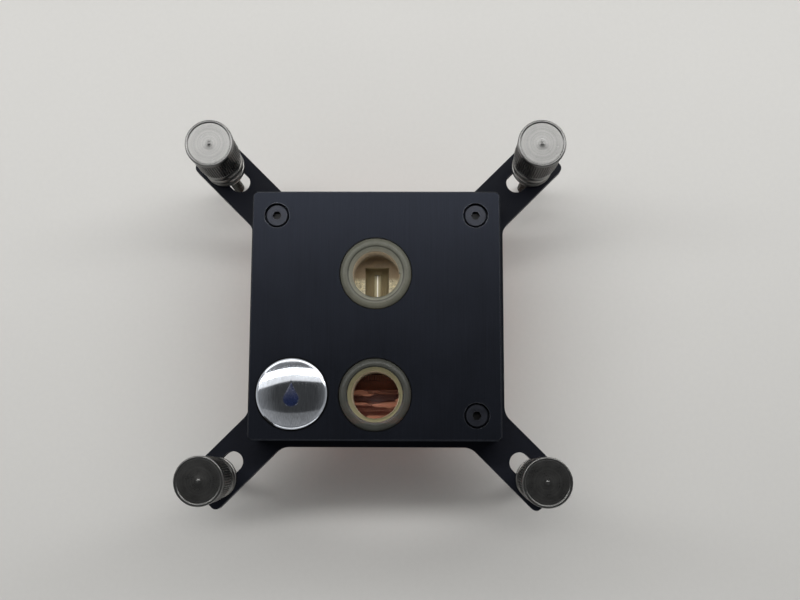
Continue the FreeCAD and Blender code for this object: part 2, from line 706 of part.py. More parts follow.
def draw_drop(sketch, radius, height):
    """A water drop: a round end about the origin, and two tangents that meet in a tip."""
    r, tip_y = radius.number, height.number
    meet = math.asin(r / tip_y)
    touch_x, touch_y = r * math.cos(meet), r * math.sin(meet)
    circle = Part.Circle(Vector(), Vector(0, 0, 1), r)
    bowl = sketch.addGeometry(Part.ArcOfCircle(circle, math.pi - meet, 2 * math.pi + meet), False)
    right = sketch.addGeometry(line(touch_x, touch_y, 0, tip_y), False)
    left = sketch.addGeometry(line(0, tip_y, -touch_x, touch_y), False)
    constrain(sketch, "Coincident", bowl, 3, -1, 1)
    constrain(sketch, "Tangent", bowl, 2, right, 1)
    constrain(sketch, "Coincident", right, 2, left, 1)
    constrain(sketch, "Tangent", left, 2, bowl, 1)
    constrain(sketch, "PointOnObject", right, 2, -2)
    constrain(sketch, "Radius", bowl, radius)
    constrain(sketch, "DistanceY", -1, 1, right, 2, height)


def make_badge_pad():
    body = new_body("badge_pad", badge_x, badge_y, cover_high - s.badge_seat)
    disc = new_sketch(body, "pad_outline")
    draw_circle(disc, s.badge_radius - s.badge_clearance)
    pad(body, disc, s.badge_seat)
    return body


def cut_hex_socket(body, name, top):
    """A hexagon socket; its corners stand on a circle round the axis."""
    sketch = new_sketch(body, name, z=top)
    corner = s.socket_width / math.sqrt(3)
    flat = s.socket_width / 2
    draw_profile(sketch, [
        (corner, 0),
        (corner / 2, flat),
        (-corner / 2, flat),
        (-corner, 0),
        (-corner / 2, -flat),
        (corner / 2, -flat),
    ])
    pocket(body, sketch, s.socket_depth)


def make_cover_screw(label, x, y):
    """A low-head hex socket screw, with its origin under the head."""
    body = new_body(label, x, y, counterbore_low)
    profile = new_sketch(body, "profile_" + label, plane="XZ_Plane")
    draw_profile(profile, [
        (0, -s.screw_length),
        (s.screw_radius - s.head_chamfer, -s.screw_length),
        (s.screw_radius, s.head_chamfer - s.screw_length),
        (s.screw_radius, 0),
        (s.head_radius, 0),
        (s.head_radius, s.head_height - s.head_chamfer),
        (s.head_radius - s.head_chamfer, s.head_height),
        (0, s.head_height),
    ])
    revolve(body, profile)
    cut_hex_socket(body, "socket_" + label, s.head_height)
    return body


def make_base_screw(label, x, y):
    """A countersunk hex socket screw that points up, with its origin on the contact plane."""
    body = new_body(label, x, y)
    profile = new_sketch(body, "profile_" + label, plane="XZ_Plane")
    low = s.base_head_sink
    neck = low + s.base_head_radius - s.screw_radius
    high = low + s.base_screw_length
    draw_profile(profile, [
        (0, low),
        (s.base_head_radius, low),
        (s.screw_radius, neck),
        (s.screw_radius, high - s.head_chamfer),
        (s.screw_radius - s.head_chamfer, high),
        (0, high),
    ])
    revolve(body, profile)
    cut_hex_socket(body, "socket_" + label, low + s.socket_depth)
    return body


# --- The sprung thumb nuts at the ends of the arms -------------------------------------------------

def make_stud(label, x, y):
    """A stud with a reduced shank over a threaded end and a tapered tip; its origin is at the tip."""
    body = new_body(label, x, y, -s.stud_drop)
    profile = new_sketch(body, "profile_" + label, plane="XZ_Plane")
    thread_high = s.stud_taper + s.stud_thread
    shoulder = s.stud_radius - s.shank_radius
    length = bore_high - s.stud_end_gap + s.stud_drop
    bevel = s.shank_radius - s.stud_tip_radius
    draw_profile(profile, [
        (0, 0),
        (s.stud_tip_radius, 0),
        (s.stud_radius, s.stud_taper),
        (s.stud_radius, thread_high),
        (s.shank_radius, thread_high + shoulder),
        (s.shank_radius, length - bevel),
        (s.stud_tip_radius, length),
        (0, length),
    ])
    revolve(body, profile)
    return body


def make_foot(label, x, y):
    """A turned sleeve: a flange on the arm, a groove, a ring, and a neck inside the thumb nut."""
    body = new_body(label, x, y, bracket_high)
    profile = new_sketch(body, "profile_" + label, plane="XZ_Plane")
    groove_high = s.foot_flange + s.foot_groove
    ring_high = groove_high + s.foot_ring
    neck_top = ring_high + s.spring_stroke + s.neck_insertion
    rim = s.foot_radius - s.foot_bevel
    bore = s.stud_radius + s.foot_clearance
    draw_profile(profile, [
        (bore, 0),
        (s.foot_radius, 0),
        (s.foot_radius, s.foot_flange - s.foot_bevel),
        (rim, s.foot_flange),
        (s.foot_waist, s.foot_flange),
        (s.foot_waist, groove_high),
        (rim, groove_high),
        (s.foot_radius, groove_high + s.foot_bevel),
        (s.foot_radius, ring_high - s.foot_bevel),
        (rim, ring_high),
        (s.neck_radius, ring_high),
        (s.neck_radius, neck_top),
        (bore, neck_top),
    ])
    revolve(body, profile)
    return body


def make_spring(label, x, y):
    """A helix of wire, ground flat where it stands on the foot and under the thumb nut.

    It is lofted through upright sections of the wire, each a step further round and higher.
    """
    height, wire = s.spring_height.number, s.spring_wire.number
    low = wire / 4
    rise = height - low * 2
    steps = round(rise / s.spring_pitch.number * SPRING_STEPS)
    sections = []
    for step in range(steps + 1):
        turn = 2 * math.pi * step / SPRING_STEPS
        middle = low + rise * step / steps
        corners = []
        for corner in range(WIRE_SIDES):
            angle = 2 * math.pi * corner / WIRE_SIDES
            out = s.spring_radius.number + wire / 2 * math.cos(angle)
            up = middle + wire / 2 * math.sin(angle)
            ground = min(max(up, 0.0), height)
            corners.append(Vector(out * math.cos(turn), out * math.sin(turn), ground))
        sections.append(Part.makePolygon(corners + corners[:1]))
    spring = doc.addObject("Part::Feature", label)
    spring.Label = label
    spring.Shape = Part.makeLoft(sections, True, True)
    place(spring, x, y, neck_high)
    return spring


def make_thumb_nut(label, x, y):
    """One turned piece: collar, knurled grip and cap, with the spring's chamber and the bore below."""
    body = new_body(label, x, y, nut_low)
    profile = new_sketch(body, "profile_" + label, plane="XZ_Plane")
    knurl_high = s.nut_collar + s.nut_knurl
    cap_low = knurl_high + s.undercut_height
    cap_high = cap_low + s.cap_height
    chamber_radius = s.neck_radius + s.neck_clearance
    chamber_top = chamber_high - nut_low
    bore_top = bore_high - nut_low
    bore = s.shank_radius + s.nut_clearance
    bevel = s.cap_chamfer
    draw_profile(profile, [
        (chamber_radius, 0),
        (s.collar_radius - bevel, 0),
        (s.collar_radius, bevel),
        (s.collar_radius, s.nut_collar),
        (s.knurl_radius, s.nut_collar),
        (s.knurl_radius, knurl_high),
        (s.undercut_radius, knurl_high),
        (s.undercut_radius, cap_low),
        (s.cap_radius, cap_low),
        (s.cap_radius, cap_high - bevel),
        (s.cap_radius - bevel, cap_high),
        (0, cap_high),
        (0, bore_top),
        (bore, bore_top),
        (bore, chamber_top),
        (chamber_radius, chamber_top),
    ])
    revolve(body, profile)

    # One V-shaped cut along the grip, repeated round it.
    notch = new_sketch(body, "notch_" + label, z=knurl_high)
    half_notch = s.knurl_radius / s.knurl_count * (math.pi * KNURL_SHARE)
    draw_profile(notch, [
        (s.knurl_radius - s.knurl_depth, 0),
        (s.knurl_radius + s.knurl_depth, half_notch * 2),
        (s.knurl_radius + s.knurl_depth, -half_notch * 2),
    ])
    notch_cut = pocket(body, notch, s.nut_knurl)
    polar(body, notch_cut, notch, s.knurl_count)
    return body


# --- Build, check and export --------------------------------------------------------------------------

def make_all():
    pieces = [
        make_cold_plate(),
        make_bracket(),
        make_manifold(),
        make_o_ring(),
        make_jet_plate(),
        make_cover(),
        make_badge(),
        make_badge_pad(),
    ]
    for i, (x, y) in enumerate(cover_screw_places(), start=1):
        pieces.append(make_cover_screw(f"cover_screw_{i}", x, y))
    for i, (x, y) in enumerate(base_screw_places(), start=1):
        pieces.append(make_base_screw(f"base_screw_{i}", x, y))
    for corner, (x, y) in CORNERS.items():
        at = (stud_place * x, stud_place * y)
        pieces.append(make_stud(f"stud_{corner}", *at))
        pieces.append(make_foot(f"spring_foot_{corner}", *at))
        pieces.append(make_spring(f"spring_{corner}", *at))
        pieces.append(make_thumb_nut(f"thumb_nut_{corner}", *at))
    return pieces


def check(pieces):
    """Stop on any failed object, and on any piece that isn't one valid solid."""
    for item in doc.Objects:
        if "Invalid" in item.State or "Error" in item.State:
            raise RuntimeError(f"{item.Name} failed: {item.State}")
    for piece in pieces:
        shape = piece.Shape
        if shape.isNull() or not shape.isValid() or len(shape.Solids) != 1:
            raise RuntimeError(f"{piece.Label} isn't one valid solid")


def main():
    pieces = make_all()
    doc.recompute()
    check(pieces)
    os.makedirs("parts", exist_ok=True)
    for piece in pieces:
        piece.Shape.exportStep(f"parts/{piece.Label}.step")
        box = piece.Shape.BoundBox
        print(f"{piece.Label}: {piece.Shape.Volume:.1f} mm3, z {box.ZMin:.2f} to {box.ZMax:.2f}")


main()
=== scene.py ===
# %% [markdown]
# # A liquid cooling cold plate, dressed
#
# The object sits on a processor and carries its heat away in water. From the bottom up it is a
# copper plate with micro-channels, a four-armed steel bracket, a clear acrylic manifold with two
# threaded ports, and a black brushed cover with a chrome badge. A sprung thumb nut stands on a
# stud at the end of each arm.
#
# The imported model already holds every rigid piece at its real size. This lesson keeps the flat
# and plain ones, and models again the pieces that a light plays on: the turned nuts and feet, the
# threads of the studs and ports, and the domed badge. Places are in metres, and outlines in
# millimetres. Both are in the model's own frame: X to the right, Y to the rear, Z up, and the
# origin in the middle of the copper's lower face.

# %% Load the frame
import bpy
import json
import math
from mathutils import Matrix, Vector


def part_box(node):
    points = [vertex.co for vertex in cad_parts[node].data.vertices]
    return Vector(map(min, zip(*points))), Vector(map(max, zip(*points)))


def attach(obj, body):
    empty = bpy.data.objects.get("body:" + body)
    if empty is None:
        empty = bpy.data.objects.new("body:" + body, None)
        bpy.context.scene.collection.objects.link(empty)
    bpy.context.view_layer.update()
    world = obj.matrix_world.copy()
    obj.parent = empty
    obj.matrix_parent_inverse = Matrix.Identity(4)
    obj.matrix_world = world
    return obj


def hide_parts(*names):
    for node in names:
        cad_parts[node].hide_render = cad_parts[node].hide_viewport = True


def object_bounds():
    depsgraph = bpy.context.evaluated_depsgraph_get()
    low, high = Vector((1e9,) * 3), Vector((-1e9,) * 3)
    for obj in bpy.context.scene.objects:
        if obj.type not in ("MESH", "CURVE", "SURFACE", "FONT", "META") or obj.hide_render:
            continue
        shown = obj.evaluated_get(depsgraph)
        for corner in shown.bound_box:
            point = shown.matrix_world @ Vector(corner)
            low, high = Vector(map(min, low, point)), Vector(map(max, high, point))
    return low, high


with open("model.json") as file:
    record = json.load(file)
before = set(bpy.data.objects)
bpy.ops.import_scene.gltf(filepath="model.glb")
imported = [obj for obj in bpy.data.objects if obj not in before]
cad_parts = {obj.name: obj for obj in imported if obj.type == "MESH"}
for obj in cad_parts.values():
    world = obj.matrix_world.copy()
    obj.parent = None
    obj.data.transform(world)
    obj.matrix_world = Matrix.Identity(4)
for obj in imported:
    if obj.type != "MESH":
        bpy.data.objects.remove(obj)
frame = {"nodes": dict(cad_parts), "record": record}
cad_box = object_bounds()
MM = 0.001
print("the model is", [round((high - low) / MM, 2) for low, high in zip(*cad_box)], "mm")

# %% [markdown]
# ## Where things are
#
# The four corners of the bracket carry the same set of pieces, so each corner needs only the
# middle of its nut. The model's boxes give those, and the levels where one piece meets the next.

# %% Places from the frame
CORNERS = ("rear_left", "rear_right", "front_left", "front_right")


def middle(node):
    """The middle of a node's box, on plan."""
    low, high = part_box(node)
    return (low.x + high.x) / 2, (low.y + high.y) / 2


def level(node, end):
    """The lowest (0) or highest (1) level of a node."""
    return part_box(node)[end].z


stands = {corner: middle(f"thumb_nut_{corner}") for corner in CORNERS}
first = CORNERS[0]
arm_top = level("mounting_bracket", 1)
for corner, (x, y) in stands.items():
    print(f"{corner} stands at {x / MM:.2f}, {y / MM:.2f} mm")

# %% [markdown]
# ## Working as by hand
#
# Blender's operators act on what is selected, as they do for a person at the screen. Loading the
# frame leaves its nodes selected, so every step starts by clearing the selection. These helpers
# take up one piece, pick its points by place in edit mode, and put it down again finished.

# %% Hands
def clear():
    """Leave edit mode and select nothing."""
    if bpy.context.object and bpy.context.object.mode != "OBJECT":
        bpy.ops.object.mode_set(mode="OBJECT")
    bpy.ops.object.select_all(action="DESELECT")


def take(piece):
    """Select one piece alone and make it the active one."""
    clear()
    piece.select_set(True)
    bpy.context.view_layer.objects.active = piece


def pick(piece, wanted, kind="VERT"):
    """Open a piece and select the points, or faces, for which wanted(place, normal) is true."""
    take(piece)
    bpy.ops.object.mode_set(mode="EDIT")
    bpy.ops.mesh.select_mode(type=kind)
    bpy.ops.mesh.select_all(action="DESELECT")
    bpy.ops.object.mode_set(mode="OBJECT")
    if kind == "VERT":
        for vertex in piece.data.vertices:
            vertex.select = wanted(vertex.co, vertex.normal)
    else:
        for face in piece.data.polygons:
            face.select = wanted(face.center, face.normal)
    bpy.ops.object.mode_set(mode="EDIT")


def settle(piece):
    """Put the piece's place into its mesh, so that its object sits at the origin."""
    take(piece)
    bpy.ops.object.transform_apply(location=True, rotation=True, scale=True)


def face_outwards(piece, merge=0.000001):
    """Merge doubled points, then turn every face outwards."""
    take(piece)
    bpy.ops.object.mode_set(mode="EDIT")
    bpy.ops.mesh.select_all(action="SELECT")
    bpy.ops.mesh.remove_doubles(threshold=merge)
    bpy.ops.mesh.normals_make_consistent(inside=False)
    bpy.ops.object.mode_set(mode="OBJECT")


def use(piece, kind, **settings):
    """Add a modifier, set it and apply it."""
    take(piece)
    bpy.ops.object.modifier_add(type=kind)
    modifier = piece.modifiers[-1]
    for name, value in settings.items():
        setattr(modifier, name, value)
    bpy.ops.object.modifier_apply(modifier=modifier.name)


def soften(piece, angle=30):
    """Smooth shading that stops at sharp edges."""
    take(piece)
    bpy.ops.object.shade_smooth_by_angle(angle=math.radians(angle))


def put_down(piece, name, body, slot, *nodes):
    """Name a piece, let it ride on its body, and hide the nodes that it stands for."""
    piece.name = name
    piece.data.name = name
    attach(piece, body)
    if nodes:
        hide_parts(*nodes)
    print(f"{name}: {len(piece.data.polygons)} faces, rides on {body}")


def at_each_corner(piece):
    """The piece, and a copy with a mesh of its own at each of the other corners."""
    pieces = [piece]
    for corner in CORNERS[1:]:
        take(piece)
        bpy.ops.object.duplicate(linked=False)
        copy = bpy.context.object
        shift = Vector(stands[corner]) - Vector(stands[first])
        copy.location = (shift.x, shift.y, 0)
        settle(copy)
        pieces.append(copy)
    return pieces

# %% [markdown]
# ## Turning on a lathe
#
# Nuts, feet and the badge are turned: one outline, swept round an axis. Here a ring of points is
# the primitive. It is extruded from station to station of the outline, each time moved up and
# scaled about the axis. A spin of a drawn profile would do as well, but rings keep their points in
# straight columns, which the knurl needs later on. The first ring and the last are each closed
# with a face.

# %% The lathe
def turned(place, stations, segments):
    """A closed form of revolution about an upright axis, from (radius, level) stations in mm."""
    clear()
    x, y = place
    now, height = stations[0]
    start = (x, y, height * MM)
    bpy.ops.mesh.primitive_circle_add(vertices=segments, radius=now * MM, location=start)
    piece = bpy.context.object
    settle(piece)
    bpy.ops.object.mode_set(mode="EDIT")
    bpy.ops.mesh.select_mode(type="VERT")
    bpy.ops.mesh.select_all(action="SELECT")
    for radius, next_height in stations[1:]:
        rise = (0, 0, (next_height - height) * MM)
        bpy.ops.mesh.extrude_edges_move(TRANSFORM_OT_translate={"value": rise})
        centre = (x, y, next_height * MM)
        grow = radius / now
        bpy.ops.transform.resize(value=(grow, grow, 1), center_override=centre)
        now, height = radius, next_height
    bpy.ops.mesh.edge_face_add()
    bpy.ops.object.mode_set(mode="OBJECT")
    first_radius, first_height = stations[0]

    def on_first_ring(point, normal):
        away = math.hypot(point.x - x, point.y - y)
        flat = abs(point.z - first_height * MM) < 1e-6
        return flat and abs(away - first_radius * MM) < 1e-6

    pick(piece, on_first_ring)
    bpy.ops.mesh.edge_face_add()
    face_outwards(piece)
    return piece

# %% [markdown]
# A lathe leaves fine rings on what it cuts. They follow the outline and not the angle, so the
# pattern only needs to know how far a point is from the axis and how high it stands. That goes
# into a UV map of its own, in millimetres, for the finish to read. An unwrap would need a seam,
# and a seam would show as a line across the rings.

# %% Distance and height for the turned finishes
def note_turning(piece, place):
    """Write distance from the axis and height, in mm, into the UV map named turning."""
    x, y = place
    layer = piece.data.uv_layers.new(name="turning")
    for loop in piece.data.loops:
        point = piece.data.vertices[loop.vertex_index].co
        away = math.hypot(point.x - x, point.y - y)
        layer.data[loop.index].uv = (away / MM, point.z / MM)

# %% [markdown]
# ## The thumb nuts
#
# Each nut is a tall turned barrel of plated brass. From the bottom up it has a smooth collar, a
# long straight knurl for the fingers, a dark undercut, and a flat cap with a thin raised rim.
# Inside is a chamber for the spring and a bore for the stud. A cylinder with a bump would look
# right only from afar, because the knurl makes the outline of the nut rough. So one nut is turned
# with its chamber and bore, the knurl is pressed into its columns, and three copies follow.

# %% Turn one nut
RIDGES = 58
COLUMNS = RIDGES * 4
KNURL_LOW = 17.9
KNURL_HIGH = 27.3
BARREL_RADIUS = 5.6
KNURL_DEPTH = 0.3
CAP_LOW = 28.0
nut_low = level(f"thumb_nut_{first}", 0) / MM
nut_top = level(f"thumb_nut_{first}", 1) / MM

bore = [(1.39, 28.05), (1.39, 23.65)]
chamber = [(4.35, 23.65), (4.35, nut_low)]
collar = [(5.1, nut_low), (5.28, nut_low + 0.1), (5.35, nut_low + 0.3), (5.35, 17.5), (5.3, 17.62)]
barrel = [(5.46, 17.7), (BARREL_RADIUS, KNURL_LOW), (BARREL_RADIUS, KNURL_HIGH)]
undercut = [(5.44, 27.52), (4.95, 27.6), (4.95, CAP_LOW)]
cap = [(5.5, CAP_LOW), (5.72, 28.08), (5.8, 28.22)]
cap_edge = [(5.8, nut_top - 0.3), (5.77, nut_top - 0.13), (5.68, nut_top - 0.04)]
rim = [(5.56, nut_top), (5.26, nut_top), (5.18, nut_top - 0.04), (5.12, nut_top - 0.16)]
face = [(5.05, nut_top - 0.2), (3.6, nut_top - 0.21), (2.0, nut_top - 0.21), (0.56, nut_top - 0.21)]
pip = [(0.44, nut_top - 0.19), (0.28, nut_top - 0.12), (0.14, nut_top - 0.12), (0.06, nut_top - 0.19)]
outline = bore + chamber + collar + barrel + undercut + cap + cap_edge + rim + face + pip
nut = turned(stands[first], outline, COLUMNS)
print("one nut turned in", len(outline), "stations")

# %% [markdown]
# A knurling wheel presses straight grooves into the barrel and lets the metal stand up between
# them. In each group of four columns two stay out and two go in. The pressed columns are picked
# by their angle and height, and scaled in towards the axis.

# %% Press the knurl
def pressed_column(point, normal):
    """True for the points of the barrel that the knurling wheel presses in."""
    x, y = stands[first]
    away = math.hypot(point.x - x, point.y - y)
    in_band = KNURL_LOW - 0.01 < point.z / MM < KNURL_HIGH + 0.01
    on_barrel = in_band and away > (BARREL_RADIUS - 0.05) * MM
    turn = math.atan2(point.y - y, point.x - x) / math.tau * COLUMNS
    return on_barrel and round(turn) % 4 in (1, 2)


pick(nut, pressed_column)
press = (BARREL_RADIUS - KNURL_DEPTH) / BARREL_RADIUS
nut_axis = (stands[first][0], stands[first][1], 0)
bpy.ops.transform.resize(value=(press, press, 1), center_override=nut_axis)
bpy.ops.object.mode_set(mode="OBJECT")
note_turning(nut, stands[first])
soften(nut, 28)

# %% Four nuts
nuts = at_each_corner(nut)
for corner, piece in zip(CORNERS, nuts):
    put_down(piece, f"nut_{corner}", f"nut_{corner}", "nut_nickel", f"thumb_nut_{corner}")

# %% [markdown]
# ## The spring feet
#
# Under each nut stands a foot that slides on the arm. It has a wide flange, a groove, a polished
# ring and a neck that goes up into the nut. Its edges are broken with small bevels, and those
# give the bright rings seen from above. The bevels are stations of the outline, which keeps them
# exact.

# %% Turn the feet
foot_low = arm_top / MM
flange = [(1.65, 16.6), (1.65, foot_low), (5.0, foot_low), (5.2, foot_low + 0.2)]
flange_top = [(5.2, 9.15), (5.12, 9.33), (4.95, 9.4), (4.7, 9.4), (4.6, 9.5)]
groove = [(4.6, 10.5), (4.7, 10.6), (4.9, 10.6)]
ring = [(5.1, 10.68), (5.2, 10.9), (5.2, 13.0), (5.1, 13.22), (4.85, 13.3), (4.4, 13.3)]
neck = [(4.3, 13.38), (4.3, 16.45), (4.15, 16.6)]


def tube(place, stations, segments):
    """As turned, but the last ring meets the first, so that a bore runs right through."""
    piece = turned(place, stations + [stations[0]], segments)
    x, y = place

    def closing_face(centre, normal):
        return math.hypot(centre.x - x, centre.y - y) < 1e-5 and abs(normal.z) > 0.9

    pick(piece, closing_face, "FACE")
    bpy.ops.mesh.delete(type="ONLY_FACE")
    face_outwards(piece)
    return piece


foot = tube(stands[first], flange + flange_top + groove + ring + neck, 96)
note_turning(foot, stands[first])
soften(foot, 28)
feet = at_each_corner(foot)
for corner, piece in zip(CORNERS, feet):
    put_down(piece, f"foot_{corner}", f"stud_{corner}", "stud_steel", f"spring_foot_{corner}")

# %% [markdown]
# ## Threads
#
# A thread is one small section carried round and up an axis. Blender's Screw modifier does
# exactly that, with the pitch as its rise per turn, while a spin can't rise as it turns. The
# section is drawn by extruding a single point from corner to corner and closing the loop.

# %% A helper that winds a section into a coil
def wound(place, section, pitch, turns, steps):
    """Carry a closed section of (radius, level) points in mm round the axis, with caps."""
    clear()
    x, y = place
    bpy.ops.mesh.primitive_plane_add(size=MM, location=(0, 0, 0))
    piece = bpy.context.object
    bpy.ops.object.mode_set(mode="EDIT")
    bpy.ops.mesh.select_mode(type="VERT")
    bpy.ops.mesh.select_all(action="SELECT")
    bpy.ops.mesh.merge(type="CENTER")
    radius, height = section[0]
    bpy.ops.transform.translate(value=(radius * MM, 0, height * MM))
    for next_radius, next_height in section[1:] + section[:1]:
        step = ((next_radius - radius) * MM, 0, (next_height - height) * MM)
        bpy.ops.mesh.extrude_vertices_move(TRANSFORM_OT_translate={"value": step})
        radius, height = next_radius, next_height
    bpy.ops.mesh.select_all(action="SELECT")
    bpy.ops.mesh.remove_doubles(threshold=0.000001)
    bpy.ops.object.mode_set(mode="OBJECT")
    screw = {"axis": "Z", "steps": steps, "render_steps": steps, "use_merge_vertices": False}
    use(piece, "SCREW", screw_offset=pitch * MM, iterations=turns, **screw)
    take(piece)
    bpy.ops.object.mode_set(mode="EDIT")
    bpy.ops.mesh.select_all(action="SELECT")
    bpy.ops.mesh.fill_holes(sides=0)
    bpy.ops.object.mode_set(mode="OBJECT")
    piece.location = (x, y, 0)
    settle(piece)
    face_outwards(piece)
    return piece

# %% [markdown]
# Each stud has an M3 thread that starts at its pointed tip, below the contact face, where it
# reaches a back plate, and ends just under the arm. The core is turned at the bottom of the
# thread, and the ridge is wound round it with its foot a little way into the core, so that no
# gap shows between them.

# %% Studs with an M3 thread
STUD_PITCH = 0.5
tip_low = level(f"stud_{first}", 0) / MM
THREAD_TURNS = 36
core = [(0.7, tip_low), (0.95, tip_low + 0.2), (1.22, tip_low + 0.95)]
shank = [(1.22, 4.3), (1.34, 4.6), (1.34, 27.35), (1.05, 27.65)]
stud = turned(stands[first], core + shank, 40)
foot_of_ridge = tip_low + 0.75
ridge = [(1.15, foot_of_ridge), (1.46, foot_of_ridge + 0.2), (1.46, foot_of_ridge + 0.26)]
ridge.append((1.15, foot_of_ridge + 0.46))
thread = wound(stands[first], ridge, STUD_PITCH, THREAD_TURNS, 24)


def join(main, *others):
    """Make several meshes into one piece."""
    take(main)
    for other in others:
        other.select_set(True)
    bpy.ops.object.join()


join(stud, thread)
soften(stud, 35)
studs = at_each_corner(stud)
for corner, piece in zip(CORNERS, studs):
    put_down(piece, f"threaded_stud_{corner}", f"stud_{corner}", "stud_steel", f"stud_{corner}")

# %% [markdown]
# ## The ported manifold
#
# The two ports of the acrylic block are tapped G1/4, with a pitch of 1.337 mm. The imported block
# has plain bores at the thread's inner size. Its mesh is copied, its loose triangles are merged,
# and a wound cutter takes the groove out of each bore with a Boolean modifier, as a tap would.
# The groove shows as a stack of rings inside each port.

# %% Tap the ports
PORT_PITCH = 1.337
port_mount = {mount["name"]: mount for mount in frame["record"]["mounts"]}
solid_manifold = frame["nodes"]["manifold"]
manifold = bpy.data.objects.new("tapped_manifold", solid_manifold.data.copy())
bpy.context.scene.collection.objects.link(manifold)
face_outwards(manifold)
for name in ("inlet_port", "outlet_port"):
    x, y, z = port_mount[name]["pos_m"]
    port_radius = port_mount[name]["dims"]["r_mm"]
    tap_low = z / MM - port_mount[name]["dims"]["length_mm"] / 2 + 0.5
    groove = [(port_radius - 0.15, tap_low - 0.12), (port_radius + 0.8, tap_low + 0.42)]
    groove += [(port_radius + 0.8, tap_low + 0.56), (port_radius - 0.15, tap_low + 1.1)]
    tap = wound((x, y), groove, PORT_PITCH, 6, 64)
    use(manifold, "BOOLEAN", operation="DIFFERENCE", solver="EXACT", object=tap)
    bpy.data.objects.remove(tap)
soften(manifold, 30)
put_down(manifold, "tapped_manifold", "block", "clear_acrylic", "manifold")

# %% [markdown]
# ## The badge
#
# A chromed button is set in the front left of the cover. Its top is a shallow dome, flat in the
# middle and rounder towards its rim, so it draws the lamps into crescents along the rim and
# shows the dark room in its middle. Facets would break those crescents, so the dome is turned
# in fine steps that follow one smooth curve.

# %% Turn the domed badge
badge_low, badge_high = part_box("badge")
badge_middle = middle("badge")
badge_radius = (badge_high.x - badge_low.x) / 2 / MM
crown_top = badge_high.z / MM
SHOULDER = 20.15
FALL = 2.3


def dome(radius):
    """Height of the dome in mm: nearly flat in the middle, and steeper and steeper outwards."""
    return crown_top - (crown_top - SHOULDER) * (radius / badge_radius) ** FALL


skirt = [(badge_radius - 0.2, badge_low.z / MM), (badge_radius, badge_low.z / MM + 0.15)]
shoulder = [(badge_radius, SHOULDER - 0.24), (badge_radius - 0.04, SHOULDER - 0.1)]
crown = [(radius / 10, dome(radius / 10)) for radius in range(82, 1, -3)]
badge = turned(badge_middle, skirt + shoulder + crown, 160)
print(f"the dome rises {crown_top - SHOULDER:.1f} mm over its rim")

# %% [markdown]
# A plain drop of dark blue enamel is let into the dome. The pocket is cut with a Boolean
# modifier, which is how a milling cutter would do it: the cutter is a disc whose rear points
# are drawn out into a tip. The edges of the enamel are then bevelled, because a sharp edge
# catches no light.

# %% Cut the drop
DROP_RADIUS = 2.1
DROP_TIP = 4.6
drop_place = (badge_middle[0], badge_middle[1] - 1.25 * MM)
POCKET_FLOOR = 21.1


def drop(radius, tip, low, high):
    """An upright prism in the shape of a drop, all in mm, with its tip to the rear."""
    clear()
    x, y = drop_place
    height = (high - low) * MM
    centre = (x, y, (low + high) / 2 * MM)
    bpy.ops.mesh.primitive_cylinder_add(vertices=64, radius=radius * MM, depth=height, location=centre)
    piece = bpy.context.object
    settle(piece)
    touch = math.acos(radius / tip)

    def beyond(point, normal):
        turn = abs(math.atan2(point.x - x, point.y - y))
        return turn < touch - 0.01

    pick(piece, beyond)
    bpy.ops.object.mode_set(mode="OBJECT")
    for vertex in piece.data.vertices:
        if vertex.select:
            turn = math.atan2(vertex.co.x - x, vertex.co.y - y)
            share = 1 - abs(turn) / touch
            along = radius * math.cos(touch) + (tip - radius * math.cos(touch)) * share
            across = radius * math.sin(touch) * (1 - share) * math.copysign(1, turn)
            vertex.co.x = x + across * MM
            vertex.co.y = y + along * MM
    face_outwards(piece)
    return piece


cutter = drop(DROP_RADIUS, DROP_TIP, POCKET_FLOOR, crown_top + 1)
use(badge, "BOOLEAN", operation="DIFFERENCE", solver="EXACT", object=cutter)
bpy.data.objects.remove(cutter)
enamel = drop(DROP_RADIUS - 0.25, DROP_TIP - 0.62, POCKET_FLOOR, POCKET_FLOOR + 0.14)
soften(badge, 30)
use(enamel, "BEVEL", width=0.04 * MM, segments=2, limit_method="ANGLE")
soften(enamel, 40)
put_down(badge, "domed_badge", "block", "badge_nickel", "badge")
put_down(enamel, "badge_enamel", "block", "badge_nickel")

# %% [markdown]
# ## Finishes that are shared
#
# Several materials need the same effect, such as brushed grain or a worn edge. Each effect is a
# node group with its own numbers, made once. A group puts out a tone, a height or a mask. The
# shader itself stays in the material, so that each finish can be read, and changed, in one place.

# %% Helpers for nodes
def add(tree, kind, *numbers, **settings):
    """Add a node, set its properties, and give numbers to its inputs in order."""
    new = tree.nodes.new(kind)
    for name, value in settings.items():
        setattr(new, name, value)
    for place, value in enumerate(numbers):
        if value is not None:
            new.inputs[place].default_value = value
    return new


def group(name, inputs, outputs):
    """Start a node group whose inputs and outputs are all plain numbers."""
    tree = bpy.data.node_groups.new(name, "ShaderNodeTree")
    for label, value in inputs.items():
        socket = tree.interface.new_socket(label, in_out="INPUT", socket_type="NodeSocketFloat")
        socket.default_value = value
    for label in outputs:
        tree.interface.new_socket(label, in_out="OUTPUT", socket_type="NodeSocketFloat")
    return tree, tree.nodes.new("NodeGroupInput"), tree.nodes.new("NodeGroupOutput")


def arithmetic(tree, operation, first_value, second_value):
    """A Math node whose inputs are numbers or the sockets of other nodes."""
    new = add(tree, "ShaderNodeMath", operation=operation)
    for place, value in enumerate((first_value, second_value)):
        if isinstance(value, (int, float)):
            new.inputs[place].default_value = value
        else:
            tree.links.new(value, new.inputs[place])
    return new.outputs[0]


def ranged(tree, value, from_low, from_high, to_low, to_high):
    """A Map Range node: the value, carried from one range to another and held at its ends."""
    new = add(tree, "ShaderNodeMapRange", None, from_low, from_high, to_low, to_high)
    tree.links.new(value, new.inputs[0])
    return new.outputs[0]


